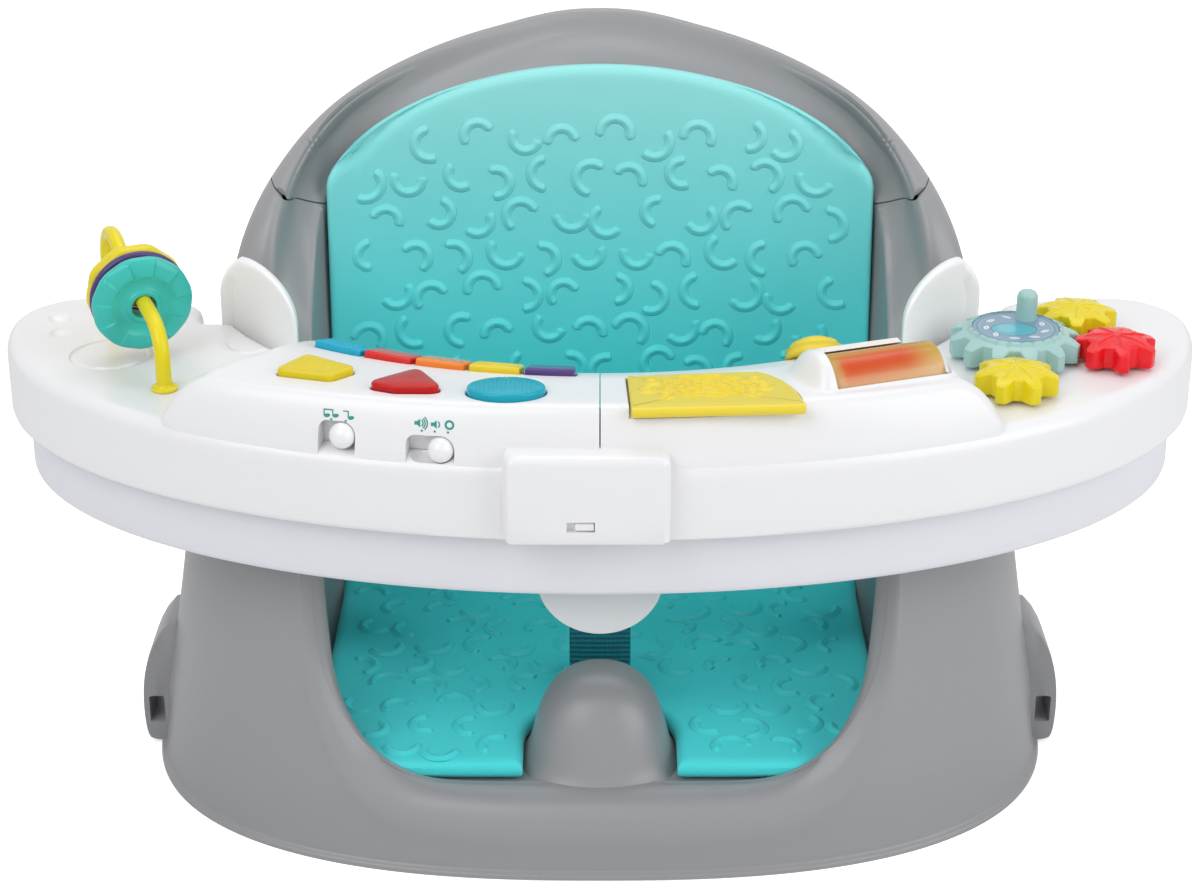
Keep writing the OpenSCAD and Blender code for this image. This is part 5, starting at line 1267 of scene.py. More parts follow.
# ---------------------------------------------------------------------------
# Play console: the right housing, its top swelling smoothly over the roller,
# with a recess for the flap and a round face for the ridged knob.
# ---------------------------------------------------------------------------
ROLLER_C, ROLLER_TURN, ROLLER_R, HUMP_R = [113.5, -91.4, DECK_Z + 14.4], 20, 14.0, 16.8
ROLLER_COS, ROLLER_SIN = (f(math.radians(ROLLER_TURN)) for f in (math.cos, math.sin))
HINGE_C, FLAP_TURN = [46, -134.5, 214.2], 3.4
KNOB_C, KNOB_TURN = [89.3, -66, DECK_Z + 11.5], 6
flap_place = placed(HINGE_C, FLAP_TURN, -TILT)
roller_place = placed(ROLLER_C, ROLLER_TURN, 0, along_x=True)
knob_place = placed(KNOB_C, KNOB_TURN, -40)


def higher(a, b, k):
    """The greater of two heights, with a blend of width k where they cross."""
    h = np.clip(0.5 + 0.5 * (a - b) / k, 0, 1)
    return b + (a - b) * h + k * h * (1 - h)


def swollen(p):
    """Lifts points of the console's top to the rounded swelling over the roller."""
    x, y = p[..., 0] - ROLLER_C[0], p[..., 1] - ROLLER_C[1]
    u, v = x * ROLLER_COS + y * ROLLER_SIN, y * ROLLER_COS - x * ROLLER_SIN
    hump = ROLLER_C[2] + np.sqrt(np.maximum(HUMP_R ** 2 - v * v, 0)) - 40 * (
        np.abs(v) > HUMP_R)
    # it falls off steeply past its right end and gently past its left one
    hump = hump - 30 * ease((u - 23.8) / 4.6) - 16 * ease((-u - 29) / 13)
    near = ease((p[..., 2] - top_z(p[..., 1]) + 4) / 3.5)
    z = p[..., 2] + near * (higher(hump, p[..., 2], 3.2) - p[..., 2])
    return np.stack([p[..., 0], p[..., 1], z], -1)


play = stacked("play_console_shell", swollen(console_rings(1, PLAY_END, 9, 150, 30)),
               white_look, lid=False)
disc = circle(1, full_turn(96))
flap_line = resample(np.concatenate([
    [[-34, 0.5], [-17, 0.5], [0, 0.5], [17, 0.5], [34, 0.5], [33.4, 7], [32.5, 14],
     [31.4, 19.4], [30, 24], [28.4, 28.4], [26, 32.6], [23.4, 36.4], [20, 39.5], [5, 39.1],
     [-10, 38.5], [-22, 37.8], [-33, 37], [-33.5, 18]]]), 300)
# the window opens over a fan of directions round the roller's axle
fan = np.radians(np.arange(118, 21, -16))
window = np.vstack([-34 * np.stack([np.sin(fan), np.cos(fan)], -1), [[0, 0]]])
carve(play, prism(inset(flap_line, -0.7), -1.6, 20, flap_place, 0.35, 2.2),
      prism([[-34.8, -3.6], [34.8, -3.6], [34.8, 3], [-34.8, 3]], -2.4, 20, flap_place),
      prism(disc * (ROLLER_R + 0.8), -28, 25, roller_place),
      prism(window, -26.5, 23.5, roller_place),
      prism(disc * 14, 2.4, 30, knob_place))
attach(play, "toy_tray")
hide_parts("activity_console")

# ---------------------------------------------------------------------------
# Flap: yellow door on a steel pin, its top embossed with an open blossom of
# scalloped petals among small round buds.
# ---------------------------------------------------------------------------


def blossom(x, y):
    """Relief of nested scalloped petals round a bud, and of buds around them."""
    x, y = x + 2, y - 22.5
    r, f = np.hypot(x, y * 1.5), np.arctan2(y * 1.5, x)
    relief = 0 * r
    for k, (size, n) in enumerate(((19.5, 9), (15.2, 8), (11.2, 7), (7.4, 5), (3.8, 3))):
        inward = size * (0.84 + 0.17 * np.abs(np.cos(n * f / 2 + k * 1.1))) - r
        relief = relief + 0.2 * ease(inward) + 0.75 * np.exp(-((inward - 1) / 0.8) ** 2)
    for bud_x, bud_y in ((-24, -3.5), (-17, -10.5), (-21.5, 5.5), (22.5, -3), (19.5, 5.5),
                         (17, -9.5)):
        d = np.hypot(x - bud_x, y - bud_y)
        relief = np.maximum(relief, 0.95 * np.exp(-((d - 2.7) / 0.85) ** 2)
                            + 0.9 * np.exp(-(d / 1.1) ** 2))
    return relief


flap_look = soft_white("yellow_flap_plastic", 0.2, (0.80, 0.63, 0.045))
flap = capped("flap_plate", flap_line, flap_place, flap_look, 3.0, rows=110, edge=1.0,
              knurl=blossom, base=-0.4)
knuckle = [[0.01, -34], [0.8, -34], [1, -33.5], [1, -12], [1, 12], [1, 33.5], [0.8, 34],
           [0.01, 34]]
rings = layered(knuckle, lambda r: disc[::2] * r * [3, 2.25] + [0, 0.78 * (r > 0.1)])
roll = stacked("flap_knuckle", flap_place(rings[..., [2, 0, 1]]), flap_look, angle=40)
pin_look = grained("bright_pin_steel", (0.62, 0.62, 0.64), 0.28, 600, 0.00002, 0.08,
                   Metallic=1.0)
rod = [[1.0, -33.6], [1.2, -33.3], [1.2, 33.3], [1.0, 33.6]]
rings = layered(rod, lambda r: disc[::4] * r)
pin = stacked("flap_pin_rod", flap_place(rings[..., [2, 0, 1]]), pin_look, angle=40)
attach(pin, "toy_tray")
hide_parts("flap_pin")
for piece in (flap, roll):
    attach(piece, "flap")
    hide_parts("flap_door")

# ---------------------------------------------------------------------------
# Roller: tinted drum that shows in the window, red at its middle where the
# beads inside it gather, its skin slightly rippled.
# ---------------------------------------------------------------------------
drum_look, tree, bsdf = shader("tinted_amber", (0.62, 0.44, 0.07), 0.2,
                               Specular_IOR_Level=0.3, Coat_Weight=0.1,
                               Coat_Roughness=0.1, Subsurface_Weight=0.2,
                               Subsurface_Scale=0.005)
place = add_node(tree, "Attribute")
place.attribute_name = "tint"
join(tree, (place, "Color", bsdf, "Base Color"))
grain(tree, bsdf, 160, 0.00002, 0.2, 0.05)
side = [[0.01, -26], [ROLLER_R - 1.2, -26], [ROLLER_R - 0.3, -25.7], [ROLLER_R, -24.8]]
side += [[ROLLER_R, z] for z in np.linspace(-22, 20, 24)]
side += [[ROLLER_R, 21.8], [ROLLER_R - 0.3, 22.7], [ROLLER_R - 1.2, 23], [0.01, 23]]
rings = layered(side, lambda r: disc * r)
drum = stacked("roller_drum", roller_place(rings), drum_look, angle=40)


def points_of(piece):
    """Vertices of a finished piece in millimetres."""
    where = np.empty(len(piece.data.vertices) * 3)
    piece.data.vertices.foreach_get("co", where)
    return where.reshape(-1, 3) * 1000


def paint(piece, name, colours):
    """Stores a colour for each vertex of a piece as an attribute."""
    made = piece.data.attributes.new(name, "FLOAT_COLOR", "POINT")
    made.data.foreach_set("color", np.column_stack([colours, np.ones(len(colours))]).ravel())


# the beads lie as a red streak along the lower front, the rest runs from peach
# below to gold above
where = points_of(drum) - ROLLER_C
along_axis = (where @ [ROLLER_COS, ROLLER_SIN, 0] + 26) / 49
height = np.degrees(np.arctan2(where[:, 2], -where @ [-ROLLER_SIN, ROLLER_COS, 0]))
beads = (ease((along_axis - 0.02) / 0.12) * ease((0.98 - along_axis) / 0.34)
         * np.exp(-np.abs((height - 56 - 14 * along_axis) / 32) ** 2.6))[:, None]
base = ease((height - 34) / 46)[:, None]
colours = np.array([0.66, 0.43, 0.19]) * (1 - base) + np.array([0.50, 0.32, 0.02]) * base
paint(drum, "tint", colours * (1 - beads) + np.array([0.62, 0.07, 0.008]) * beads)
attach(drum, "roller")
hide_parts("roller")

# ---------------------------------------------------------------------------
# Ridged knob: a yellow dome behind the console that clicks round, its side
# stepped in rounded ridges for small fingers.
# ---------------------------------------------------------------------------
DOME_R, DOME_H, RIDGE = 13, 8.2, 0.075
q = np.linspace(0.02, 1, 90)
swell = 1 - RIDGE * np.abs(np.sin(q * math.pi * 4)) ** 0.8 * (q < 0.98)
radius = DOME_R * np.cos(q * math.pi / 2) ** 0.75 * swell * (q < 1)
side = np.stack([radius, 3 + DOME_H * np.sin(q * math.pi / 2) * swell ** 0.6], -1)
rings = layered([(side[0, 0], 2.6), *side], lambda r: disc * r + disc * 0.01)
dome = stacked("ridged_knob", knob_place(rings), flap_look)
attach(dome, "click_knob")
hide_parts("click_knob")

# ---------------------------------------------------------------------------
# Clip: the white catch cover that stands over the middle of the rim, with a
# shallow window at its foot and a small catch tab that shows in it.
# ---------------------------------------------------------------------------
CLIP_X, CLIP_FRONT = -5.5, -150.0
rings = []
for draw, z in ([1.6, 164.0], [0.5, 164.3], [0, 165.2], [0, 180], [0, 197], [0.25, 198.6],
                [0.9, 199.9], [1.9, 200.7], [3.2, 201]):
    behind = 8.4 if z < 190 else 15
    plan = round_corners([[-33 + draw, behind], [-32.4 + draw, 5 + draw], [-30.6 + draw, draw],
                          [30.6 - draw, draw], [33 - draw, 2 + draw], [33 - draw, behind]],
                         1.15, 6)
    rings.append(np.column_stack([plan + [CLIP_X, CLIP_FRONT], np.full(len(plan), z)]))
clip = stacked("clip_cover", np.stack(rings), white_look, angle=60)
hole = prism([[-13, -3], [-2, -3], [-2, 2.6], [-13, 2.6]], 169.6, 174,
             lambda p: p + [0, CLIP_FRONT, 0])
carve(clip, hole)


def upright(x0, x1, front, back, r, n):
    """Function of g for a rounded rectangle drawn in by g, but not at its back."""
    return lambda g: round_corners([[x0 + g, front + g], [x1 - g, front + g], [x1 - g, back],
                                    [x0 + g, back]], r, n)


tab = layered([(0.4, 170.1), (0, 170.5), (0, 172.9), (0.4, 173.3)],
              upright(-9.8, -2.3, CLIP_FRONT + 0.5, CLIP_FRONT + 3, 0.3, 4))
tab = stacked("clip_tab", tab, white_look, angle=40)
for piece in (clip, tab):
    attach(piece, "toy_tray")
    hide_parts("front_clip")
tongue = layered([(0, FEED_TOP - 4), (0, 173.2), (0.3, 173.8), (0.9, 174.1)],
                 upright(-11.8, -1.6, -135.3, -133, 0.3, 4))
tongue = stacked("catch_tongue", tongue, feed_shaded_look, angle=40)
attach(tongue, "feeding_tray")
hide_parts("feeding_tray")

# ---------------------------------------------------------------------------
# Release lever: a half-round paddle that hangs under the front of the lower
# tray on a steel pin, its rim rounded and its face slightly dished.
# ---------------------------------------------------------------------------
PADDLE_Y, PADDLE_R, PADDLE_Z, PIN_Z = -116.0, 26.0, PLATE_Z - 18.3, 144.3
t = np.linspace(-math.pi, 0, 61)
neck_top = PIN_Z - PADDLE_Z - 3.6
half_disc = resample(np.vstack([circle(PADDLE_R, t), [
    [13, 0], [12, 1], [12, neck_top], [-12, neck_top], [-12, 1], [-13, 0]]]), 260)
# the lever takes a grey-blue copy of the white plastic: painted shade, for the shadow it hangs
# in under the tray's front
lever_shaded_look = soft_white("white_plastic_shaded_grey_blue", 0.3, (0.68, 0.715, 0.73))
paddle = capped("release_paddle", half_disc, placed([0, PADDLE_Y, PADDLE_Z], 0, 90),
                lever_shaded_look, 2.0, rows=16, edge=0.9, dome=-0.5, base=-2.0)
barrel = [[2, -12], [3.6, -12], [4, -11.6], [4, -5], [4, -4.9], [3.9, -4.5], [2, -4.5]]
rings = layered(barrel, lambda r: disc[::3] * r)[..., [2, 0, 1]]
bosses = layered([(0.6, 13.2), (0, 13.8), (0, 21.4), (0.6, 22)],
                 upright(PADDLE_Y - 4.4, PADDLE_Y + 4.4, PIN_Z - 4.6, PLATE_Z + 1, 1.6, 5))
for side, name in ((-1, "left"), (1, "right")):
    shape = rings * [-side, 1, 1] + [0, PADDLE_Y, PIN_Z]
    ends = surface("lever_barrel_" + name, shape.reshape(-1, 3),
                   grid_faces(len(barrel), 32, True, True).tolist(), lever_shaded_look, angle=40)
    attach(ends, "release_lever")
    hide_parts("release_lever")
    boss = stacked("lever_boss_" + name, bosses[..., [2, 0, 1]] * [side, 1, 1], feed_shaded_look,
                   angle=40)
    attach(boss, "feeding_tray")
    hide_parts("feeding_tray")
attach(paddle, "release_lever")
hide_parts("release_lever")

# ---------------------------------------------------------------------------
# Gears: a large sage one with a crank peg and a sunk picture disc, and three
# small ones that mesh with it, their domed tops lined like leaves.
# ---------------------------------------------------------------------------
BIG_C, GEAR_Z = np.array([177.5, -27.8]), DECK_Z + 1.6
GEAR_DIRS = [-97.5, -9.7, 43]
SMALL_C = [[171.95, -69.94], [219.39, -34.96], [208.58, 1.18]]
BIG_TEETH, SMALL_TEETH, BIG_TURN = 12, 7, 6
GEAR_EDGE, GEAR_FALL = 0.7, 2.4


def toothed(n, root, tip, wide, narrow):
    """Radius of a gear's edge over one turn: flat valleys and flat-ended teeth.

    A tooth spans twice the share wide of its pitch at its foot and twice the
    share narrow at its end; flanks are eased so that corners are softened.
    """
    a = np.linspace(0, 1, 30, endpoint=False) - 0.5
    t = np.clip((wide - np.abs(a)) / (wide - narrow), 0, 1)
    r = root + (tip - root) * (0.8 * t + 0.2 * ease(t))
    angle = (np.arange(n)[:, None] + a[None]) * 2 * math.pi / n
    return angle.ravel(), np.tile(r, n)


def gear(name, centre, turn, n, root, tip, wide, narrow, height, look, relief, fall):
    """Gear as rings of its edge that shrink over a domed top to its middle."""
    angle, r = toothed(n, root, tip, wide, narrow)
    turned = angle + math.radians(turn)
    rings = list(layered([(1.0, 0), (0.3, 0.25), (0, 0.9)],
                         lambda g: circle(r - g, turned)))
    top = height - fall * (r / tip) ** GEAR_FALL - GEAR_EDGE
    for q in np.linspace(0, math.pi / 2, 6):
        rings.append(np.column_stack([circle(r - GEAR_EDGE + GEAR_EDGE * np.cos(q), turned),
                                      top + GEAR_EDGE * np.sin(q)]))
    for share in np.linspace(1, 0, 64)[1:]:
        flat = (r - GEAR_EDGE) * share
        z = height - fall * (flat / tip) ** GEAR_FALL + relief(flat, angle)
        rings.append(np.column_stack([circle(flat, turned), z]))
    return stacked(name, np.stack(rings) + [*centre, GEAR_Z], look, angle=48, lid=False)


def leaf_lines(r, f):
    """Relief of a small gear's top: raised veins that run out to its teeth."""
    vein = np.abs(np.sin(f * SMALL_TEETH / 2)) * r
    branch = np.abs(np.sin(f * SMALL_TEETH / 2 + 0.42 * r)) * 3
    out = 0.6 * np.exp(-(vein / 1.5) ** 2) * ease(r / 3) * ease((14.2 - r) / 2)
    out = out + 0.22 * np.exp(-(branch / 1.3) ** 2) * ease((r - 4) / 3) * ease((13 - r) / 3)
    return out + 0.5 * ease((3.4 - r) / 2)


def sunk_disc(r, _):
    """Relief of the large gear's top: a rim round the seat of its picture disc."""
    return 1.1 * ease((20.4 - r) / 0.8) - 2.9 * ease((18.6 - r) / 0.35)


gear_looks = [soft_white("sunny_plastic", 0.2, (0.79, 0.64, 0.010)),
              soft_white("poppy_plastic", 0.2, (0.84, 0.009, 0.016)),
              soft_white("lemon_plastic", 0.2, (0.79, 0.64, 0.010))]
sage_look = soft_white("sage_plastic", 0.22, (0.36, 0.58, 0.56))
for name, d, centre, look in zip(("front", "right", "back"), GEAR_DIRS, SMALL_C, gear_looks):
    # turned so that a tooth of the one stands in a valley of the other
    share = (BIG_TURN - d) * BIG_TEETH / 360
    turn = d + 180 + (0.5 - share) * 360 / SMALL_TEETH
    made = gear("small_gear_" + name, centre, turn, SMALL_TEETH, 12.6, 17.6, 0.33, 0.12,
                11.0, look, leaf_lines, 3.0)
    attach(made, "gear_" + name)
    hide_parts("gear_" + name)
big = gear("large_gear", BIG_C, BIG_TURN, BIG_TEETH, 22.8, 28.0, 0.34, 0.14, 13.0,
           sage_look, sunk_disc, 5.2)
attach(big, "big_gear")
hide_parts("big_gear")
CRANK = BIG_C + [6, 10.5]
side = np.vstack([[[0.01, 9], [4.5, 9], [4.5, 11.5], [4.5, 18], [4.45, 21.6]],
                  circle(3.2, np.linspace(0.2, math.pi / 2, 9)) + [1.25, 21.6],
                  [[0.01, 24.85]]])
rings = layered(side + [0, GEAR_Z], lambda r: disc * r + CRANK)
peg = stacked("crank_peg", rings, sage_look, angle=60)
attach(peg, "big_gear")
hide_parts("big_gear")

# Picture disc: a printed disc with a plain generic pattern, an oval pebble in
# turquoise among pale outlined leaves, lying in the large gear's recess.
label_look, tree, bsdf = shader("printed_leaf_disc", (0.3, 0.45, 0.55), 0.3)
place = add_node(tree, "Attribute")
place.attribute_name = "print"
join(tree, (place, "Color", bsdf, "Base Color"))
grain(tree, bsdf, 800, 0.000008, 0.3, 0.04)
t = full_turn(288)
side = [(18.1, 10.7), (18.4, 10.9), (18.4, 11.5), (18.25, 11.65)]
side += [(r, 11.65) for r in np.linspace(18, 0.01, 96)]
rings = layered(side, lambda r: circle(r, t)) + [*BIG_C, GEAR_Z]
label = stacked("picture_disc", rings, label_look, angle=40)
x, y = (points_of(label)[:, :2] - BIG_C).T
ink = np.tile([0.20, 0.33, 0.44], (len(x), 1))
# each layer is how much it covers and its colour: two rings, the pebble, its
# outline and its light, then the leaves round it
r, pebble = np.hypot(x, y), 1 - np.hypot((x + 1) / 9.6, (y + 2) / 7.6)
layers = [(ease((np.abs(r - 16.6) - 0.3) / -0.25), (0.07, 0.15, 0.24)),
          (ease((np.abs(r - 15.3) - 0.18) / -0.2), (0.45, 0.58, 0.68)),
          (ease(pebble / 0.05), (0.10, 0.42, 0.52)),
          (ease((0.04 - np.abs(pebble)) / 0.03), (0.05, 0.16, 0.26)),
          (ease((1 - np.hypot((x + 4) / 4.4, (y + 1) / 4.6)) / 0.12), (0.16, 0.50, 0.58))]
for k in range(9):
    g = k * 2 * math.pi / 9 + 0.35
    turn = g + 1.2 + 0.5 * math.sin(k * 2.3)
    dx, dy = x - 12.6 * math.cos(g), y - 12.6 * math.sin(g)
    u = dx * math.cos(turn) + dy * math.sin(turn)
    v = dy * math.cos(turn) - dx * math.sin(turn)
    leaf = 1.35 * (1 - (u / 3.1) ** 2) - np.abs(v)
    layers += [(ease((leaf + 0.35) / 0.25), (0.08, 0.17, 0.27)),
               (ease(leaf / 0.2), (0.66, 0.76, 0.82)),
               (ease((0.22 - np.abs(v)) / 0.15) * (leaf > 0.2), (0.22, 0.36, 0.47))]
for share, colour in layers:
    share = share[:, None]
    ink = ink * (1 - share) + np.array(colour) * share
paint(label, "print", ink)
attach(label, "big_gear")
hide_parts("gear_label")

# ---------------------------------------------------------------------------
# Bead wire: a thick bent yellow tube with a flange at each foot, carrying
# three loose rings that hang on its straight run.
# ---------------------------------------------------------------------------
WIRE_FOOT, WIRE_TURN, WIRE_D = [-181, -65, DECK_Z], 113, 6.5
WIRE = [[0, 0], [0, 8], [0, 15], [2.4, 21], [7.6, 25.4], [14, 27.4], [24, 28.8],
        [34, 30.2], [44, 31.6], [54, 33], [61, 35.4], [67, 39], [74, 42], [81, 42.6],
        [88, 40], [92, 34], [93.6, 26], [94, 16], [94, 8], [94, 0]]
wire_place = placed(WIRE_FOOT, WIRE_TURN)


def threaded(path, at):
    """Smooth line through a path's corners, at lengths along them."""
    far = lengths(path)
    return np.stack([curve(np.column_stack([far, c]), at) for c in path.T], -1)


line = np.array(WIRE, float)
run = threaded(line, np.linspace(0, lengths(line)[-1], 180))
run[:, 1] = np.maximum(run[:, 1], 0)
tangent = np.gradient(run, axis=0)
tangent /= np.linalg.norm(tangent, axis=1, keepdims=True)
u, v = circle(WIRE_D / 2, full_turn(40)).T
rings = np.stack([run[:, :1] - tangent[:, 1:] * u, v + 0 * run[:, :1],
                  run[:, 1:] + tangent[:, :1] * u], -1)
wire_look = soft_white("yellow_tube_plastic", 0.24, (0.80, 0.67, 0.010))
wire = stacked("bead_wire_tube", wire_place(rings), wire_look, angle=60)
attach(wire, "toy_tray")
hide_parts("bead_wire")
flange = [(0.01, 0), (5.2, 0), (5.6, 0.4), (5.6, 1.0), (5.2, 1.45), (4.4, 1.6),
          (3.9, 2.0), (3.5, 2.8), (0.01, 2.8)]
for name, x in (("1", 0), ("2", 94)):
    rings = layered(flange, lambda r: disc * r) + [x, 0, 0]
    foot = stacked("wire_flange_" + name, wire_place(rings), wire_look, angle=50)
    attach(foot, "toy_tray")
    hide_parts("bead_wire")

# Rings: a turquoise wheel whose outer band is parted by radial steps, a thin
# purple disc and a yellow ring with a lobed edge.
RING_BORE, RUN_TILT = 5.2, 8


def ring_place(along):
    """Frame of a ring hanging on the wire's straight run, Z along the run."""
    b = math.radians(90 - RUN_TILT)
    turn = np.array([[math.cos(b), 0, math.sin(b)], [0, 1, 0],
                     [-math.sin(b), 0, math.cos(b)]])
    hang = RING_BORE - WIRE_D / 2 - 0.15
    return lambda p: wire_place((np.asarray(p, float) + [hang, 0, along]) @ turn.T
                                + [39, 0, 30.9])


def wheel(name, along, profile, relief, look, body, node):
    """Ring turned from a closed profile of [radius, height], with relief on it."""
    f = full_turn(264)
    r, z = relief(profile[:, :1] + 0 * f, profile[:, 1:] + 0 * f, f)
    rings = np.stack([r * np.cos(f), r * np.sin(f), z], -1)
    made = surface(name, ring_place(along)(rings).reshape(-1, 3),
                   grid_faces(len(profile), len(f), True, True).tolist(), look, angle=42)
    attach(made, body)
    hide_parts(node)


def fine(profile, n):
    """Closed profile softened at its corners and resampled to n points."""
    return resample(soften(profile, 2), n)


def segments(r, z, f):
    """Eleven slightly tilted facets in the outer band of both faces."""
    turn = (f * 11 / (2 * math.pi)) % 1
    band = ease((r - 13.2) / 0.7) * ease((21.4 - r) / 1.2)
    step = (turn - 0.5) * 1.5 + 0.9 * np.exp(-((turn - 0.5) ** 2 - 0.25) ** 2 / 0.0006)
    facet = 1 - 0.022 * np.cos(math.pi * (turn - 0.5)) + 0.012
    return np.where(r > 15, r * np.minimum(facet, 1), r), z + np.sign(z) * band * step * 0.5


def lobes(r, z, f):
    """Edge that swells and sinks gently round the ring."""
    swell = 1 - 0.035 * (1 - np.cos(9 * f)) / 2 * ease((r - 12) / 6)
    return r * swell, z


ring_looks = [soft_white("turquoise_ring_plastic", 0.2, (0.045, 0.52, 0.46)),
              soft_white("purple_ring_plastic", 0.22, (0.075, 0.05, 0.17)),
              soft_white("yellow_ring_plastic", 0.22, (0.79, 0.64, 0.010))]
wheel("turquoise_wheel", -9, fine(
    [[RING_BORE, -3.6], [5.4, -4.0], [7.2, -3.9], [7.8, -2.6], [10.5, -2.0], [13, -2.9],
     [14, -3.7], [18, -3.3], [20.6, -2.2], [21.5, -1], [21.5, 1], [20.6, 2.2], [18, 3.3],
     [14, 3.7], [13, 2.9], [10.5, 2.0], [7.8, 2.6], [7.2, 3.9], [5.4, 4.0],
     [RING_BORE, 3.6]], 150), segments, ring_looks[0], "ring_turquoise",
    "bead_ring_turquoise")
wheel("purple_disc", -2.6, fine(
    [[RING_BORE, -1.6], [6, -2], [19.4, -2], [20.6, -1.4], [21, -0.5], [21, 0.5],
     [20.6, 1.4], [19.4, 2], [6, 2], [RING_BORE, 1.6]], 80),
    lambda r, z, f: (r, z), ring_looks[1], "ring_purple", "bead_ring_purple")
wheel("yellow_lobed_ring", 4.2, fine(
    [[RING_BORE, -3.8], [6, -4.2], [14, -4.2], [18.6, -3.9], [20.6, -2.4], [21, 0],
     [20.6, 2.4], [18.6, 3.9], [14, 4.2], [6, 4.2], [RING_BORE, 3.8]], 110),
    lobes, ring_looks[2], "ring_yellow", "bead_ring_yellow")

# ---------------------------------------------------------------------------
# Harness: dark teal ribbed webbing, a crotch strap up from the pan and two
# waist straps that twist from their slots to the buckle in front of the child.
# ---------------------------------------------------------------------------
WEB_W, WEB_T, BUCKLE_C, WAIST_SLOT_Z = 27.0, 1.8, np.array([0, -14, 118.0]), 86
web_look, tree, bsdf = shader("teal_webbing", (0.002, 0.19, 0.24), 0.62,
                              Sheen_Weight=0.2, Sheen_Roughness=0.4,
                              Specular_IOR_Level=0.3)
place = add_node(tree, "UVMap")
place.uv_map = "weave"
rib = add_node(tree, "TexWave", Scale=150, Distortion=0.4, Detail=2)
cross = add_node(tree, "TexWave", Scale=260)
rib.bands_direction, cross.bands_direction = "Y", "X"
both_ways = add_node(tree, "Math")
both_ways.operation, both_ways.inputs[1].default_value = "MULTIPLY_ADD", 0.35
bump = add_node(tree, "Bump", Strength=0.8, Distance=0.0003)
# the webbing's own teal, mixed darker in the rib troughs and lighter on their crests after the
# same wave as the bump: painted shade along the weave
dye_and_rib_shade = add_node(tree, "Mix")
dye_and_rib_shade.data_type = "RGBA"
dye_and_rib_shade.inputs["A"].default_value = (0.002, 0.10, 0.13, 1)
dye_and_rib_shade.inputs["B"].default_value = (0.005, 0.25, 0.30, 1)
join(tree, (place, "UV", rib, "Vector"), (place, "UV", cross, "Vector"),
     (cross, "Fac", both_ways, 0), (rib, "Fac", both_ways, 2),
     (both_ways, "Value", bump, "Height"), (bump, "Normal", bsdf, "Normal"),
     (rib, "Fac", dye_and_rib_shade, "Factor"), (dye_and_rib_shade, "Result", bsdf, "Base Color"))


def webbing(name, path, lean, node, sway=0.0):
    """Strap along a path, turned about it by lean degrees at each point.

    Its edges are rounded, its faces carry eight lengthwise cords and it bows a
    little across, so light catches it as woven.
    """
    path, lean = np.array(path, float), np.array(lean, float)
    far = lengths(path)
    s = np.linspace(0, far[-1], int(far[-1] / 1.2))
    line = threaded(path, s)
    turn = np.radians(curve(np.column_stack([far, lean]), s))
    ahead = np.gradient(line, axis=0)
    ahead /= np.linalg.norm(ahead, axis=1, keepdims=True)
    if np.abs(path[:, 0]).max() < 1:
        side = np.tile([1.0, 0, 0], (len(s), 1))
        up = np.cross(ahead, side)
    else:
        flat = ahead * [1, 1, 0]
        flat /= np.linalg.norm(flat, axis=1, keepdims=True)
        side0 = np.stack([-flat[:, 1], flat[:, 0], 0 * s], -1)
        up0 = np.tile([0, 0, 1.0], (len(s), 1))
        side = side0 * np.cos(turn)[:, None] + up0 * np.sin(turn)[:, None]
        up = up0 * np.cos(turn)[:, None] - side0 * np.sin(turn)[:, None]
    u = np.linspace(-1, 1, 49)
    edge = np.sqrt(np.maximum(1 - np.maximum((np.abs(u) - 0.95) / 0.05, 0) ** 2, 0.04))
    cords = 1 - 0.16 * np.abs(np.sin(u * math.pi * 4.5)) ** 0.6
    half = WEB_T / 2 * edge * cords
    wide = np.concatenate([u, u[::-1]]) * WEB_W / 2
    thick = np.concatenate([half, -half[::-1]])
    bow = sway * np.sin(s / far[-1] * math.pi)[:, None] * (1 - (wide / WEB_W * 2) ** 2)
    points = (line[:, None] + side[:, None] * wide[None, :, None]
              + up[:, None] * (thick[None] + bow)[..., None])
    made = stacked(name, points, web_look, angle=70)
    where = points_of(made)
    # each corner takes the place across and along of the point it was made from
    weave = made.data.uv_layers.new(name="weave")
    corner = np.empty(len(made.data.loops), int)
    made.data.loops.foreach_get("vertex_index", corner)
    flat_points = points.reshape(-1, 3)
    uv = np.empty((len(where), 2))
    for part in np.array_split(np.arange(len(where)), 40):
        near = np.argmin(((where[part][:, None] - flat_points[None]) ** 2).sum(-1), 1)
        uv[part] = np.stack([wide[near % len(wide)], s[near // len(wide)]], -1) / 1000
    weave.data.foreach_set("uv", uv[corner].ravel())
    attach(made, "seat")
    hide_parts(node)


webbing("crotch_webbing", [[0, -47, 23], [0, -47, 32], [0, -47, 42], [0, -43, 68],
                           [0, -31, 84], [0, -18, 95], [0, -14, 105]], [0] * 7,
        "crotch_strap", -0.8)
ROUTE = [[-140, 22], [-122, 22], [-104, 20], [-92, 8], [-74, -15], [-54, -16], [-36, -14]]
step = np.arange(7)
lift = WAIST_SLOT_Z + (BUCKLE_C[2] - WAIST_SLOT_Z) * ease((step - 1) / 5)
lean = 90 * ease((step - 1) / 4)
for side, name in ((-1, "left"), (1, "right")):
    path = [[x * -side, y, z] for (x, y), z in zip(ROUTE, lift)]
    webbing("waist_webbing_" + name, path, lean if side < 0 else 180 - lean,
            "waist_strap_" + name)

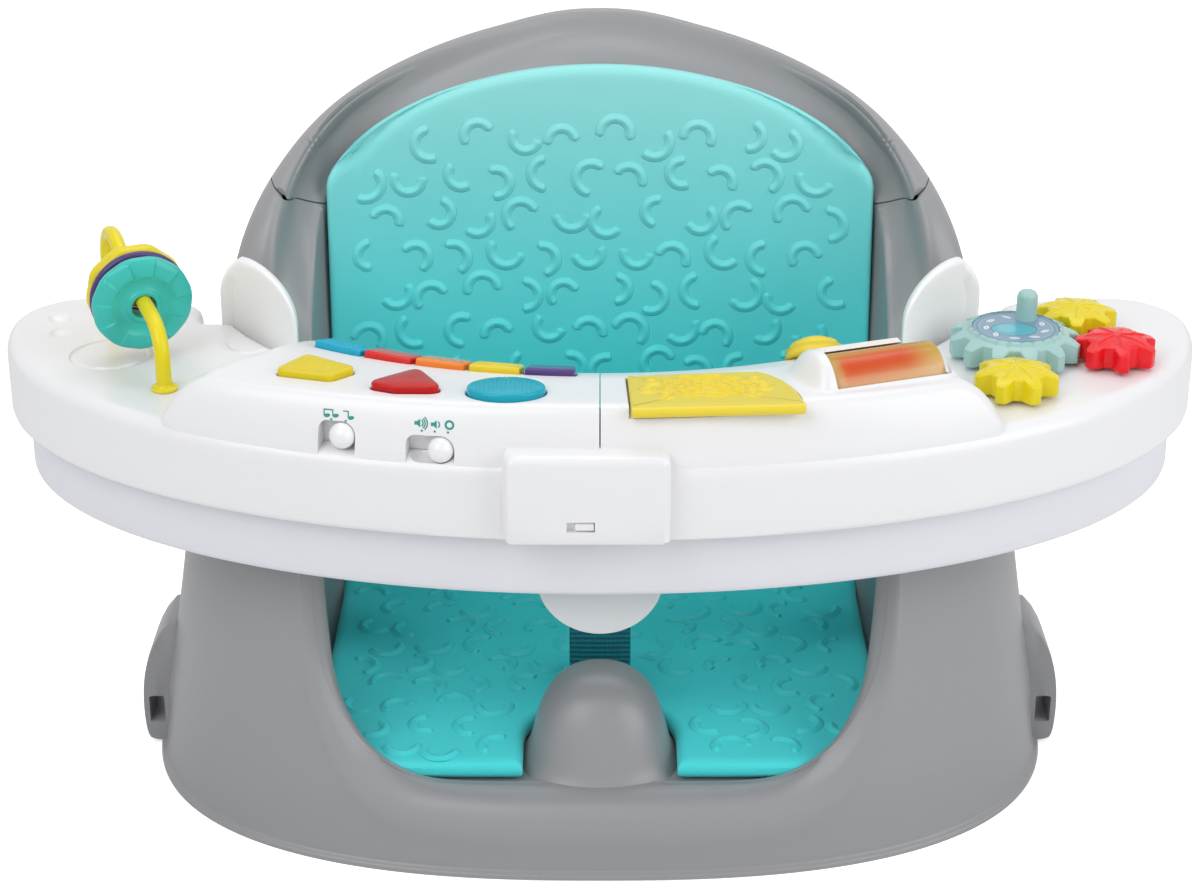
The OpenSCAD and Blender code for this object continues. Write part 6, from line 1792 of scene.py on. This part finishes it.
# Buckle and tongues: black acetal, the buckle a rounded plate with a pressed
# release disc, the tongues webbing loops that plug into its sides.
black_look = soft_white("black_acetal", 0.34, (0.012, 0.012, 0.013))
buckle_place = placed(BUCKLE_C, 0, 90)
plate = round_corners(box(-22, 22, -17, 17), 9, 14)
steps = [(1.4, -6), (0.4, -5.6), (0, -4.6), (0, 4.6), (0.4, 5.6), (1.4, 6)]
rings = layered(steps, lambda g: inset(plate, g))
buckle = stacked("buckle_body", buckle_place(rings), black_look, angle=40)
carve(buckle, prism(box(12, 30, -9, 9), -3.4, 3.4, buckle_place),
      prism(box(-30, -12, -9, 9), -3.4, 3.4, buckle_place),
      prism(box(-14.5, 14.5, -30, -12), -3, 3, buckle_place),
      prism(disc[::2] * 7.4, 5.0, 9, buckle_place))
press = capped("buckle_release", disc[::2] * 6.9, placed(BUCKLE_C + [0, -5.1, 0], 0, 90),
               soft_white("red_release_plastic", 0.3, (0.45, 0.02, 0.02)), 1.2, rows=14,
               edge=0.5, dome=-0.4, base=0.1)
for piece in (buckle, press):
    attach(piece, "seat")
    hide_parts("harness_buckle")
blade = round_corners(box(13, 24, -8, 8), 1.2, 5)
frame_line = round_corners(box(23, 39, -17, 17), 3, 8)
for side, name in ((-1, "left"), (1, "right")):
    for kind, outline, half in (("tongue_blade_", blade, 2.6),
                                ("tongue_loop_", frame_line, 3.5)):
        rings = layered([(0.6, -half), (0, 0.6 - half), (0, half - 0.6), (0.6, half)],
                        lambda g: inset(outline, g))
        part = stacked(kind + name, buckle_place(rings) * [side, 1, 1], black_look, angle=40)
        if outline is frame_line:
            carve(part, prism(box(30, 50, -14.5, 14.5), -1.6, 1.6,
                              lambda p: buckle_place(p) * [side, 1, 1]))
        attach(part, "seat")
        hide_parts("buckle_tongues")

# ---------------------------------------------------------------------------
# Small parts kept as modelled: feet, anchors, pins, springs, screws, posts and
# the works inside the tray, each given its own finish.
# ---------------------------------------------------------------------------
rubber_look = grained("grey_rubber", (0.05, 0.05, 0.055), 0.8, 1100, 0.0001, 0.08)
steel_look = grained("bright_steel", (0.62, 0.62, 0.64), 0.28, 600, 0.00002, 0.08,
                     Metallic=1.0)
bead_look = grained("red_bead_plastic", (0.66, 0.02, 0.02), 0.2, 300, 0.00002, 0.05)
cone_look = grained("black_paper_cone", (0.02, 0.02, 0.022), 0.7, 900, 0.0001, 0.1)
board_look, tree, bsdf = shader("green_board", (0.01, 0.16, 0.07), 0.45)
tinted(tree, bsdf, (0.008, 0.13, 0.05), (0.02, 0.22, 0.10), -0.26, 0.26, "X", 0.4)
cell_look, tree, bsdf = shader("wrapped_cell", (0.05, 0.09, 0.25), 0.35, Metallic=0.4)
tinted(tree, bsdf, (0.05, 0.09, 0.25), (0.42, 0.32, 0.06), 0.1745, 0.1795, "Z", 0.0)
kept = {rubber_look: ["rubber_feet"],
        steel_look: ["release_pin", "release_spring", "cover_screws", "roller_axle",
                     "key_springs", "battery_door_screw"],
        white_look: ["gear_posts", "toy_tray_floor", "battery_door"],
        black_look: ["strap_anchors"], bead_look: ["roller_beads"],
        board_look: ["circuit_board"], cone_look: ["speaker"], cell_look: ["batteries"]}
for look, nodes in kept.items():
    for node in nodes:
        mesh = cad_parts[node].data
        mesh.materials.clear()
        mesh.materials.append(look)
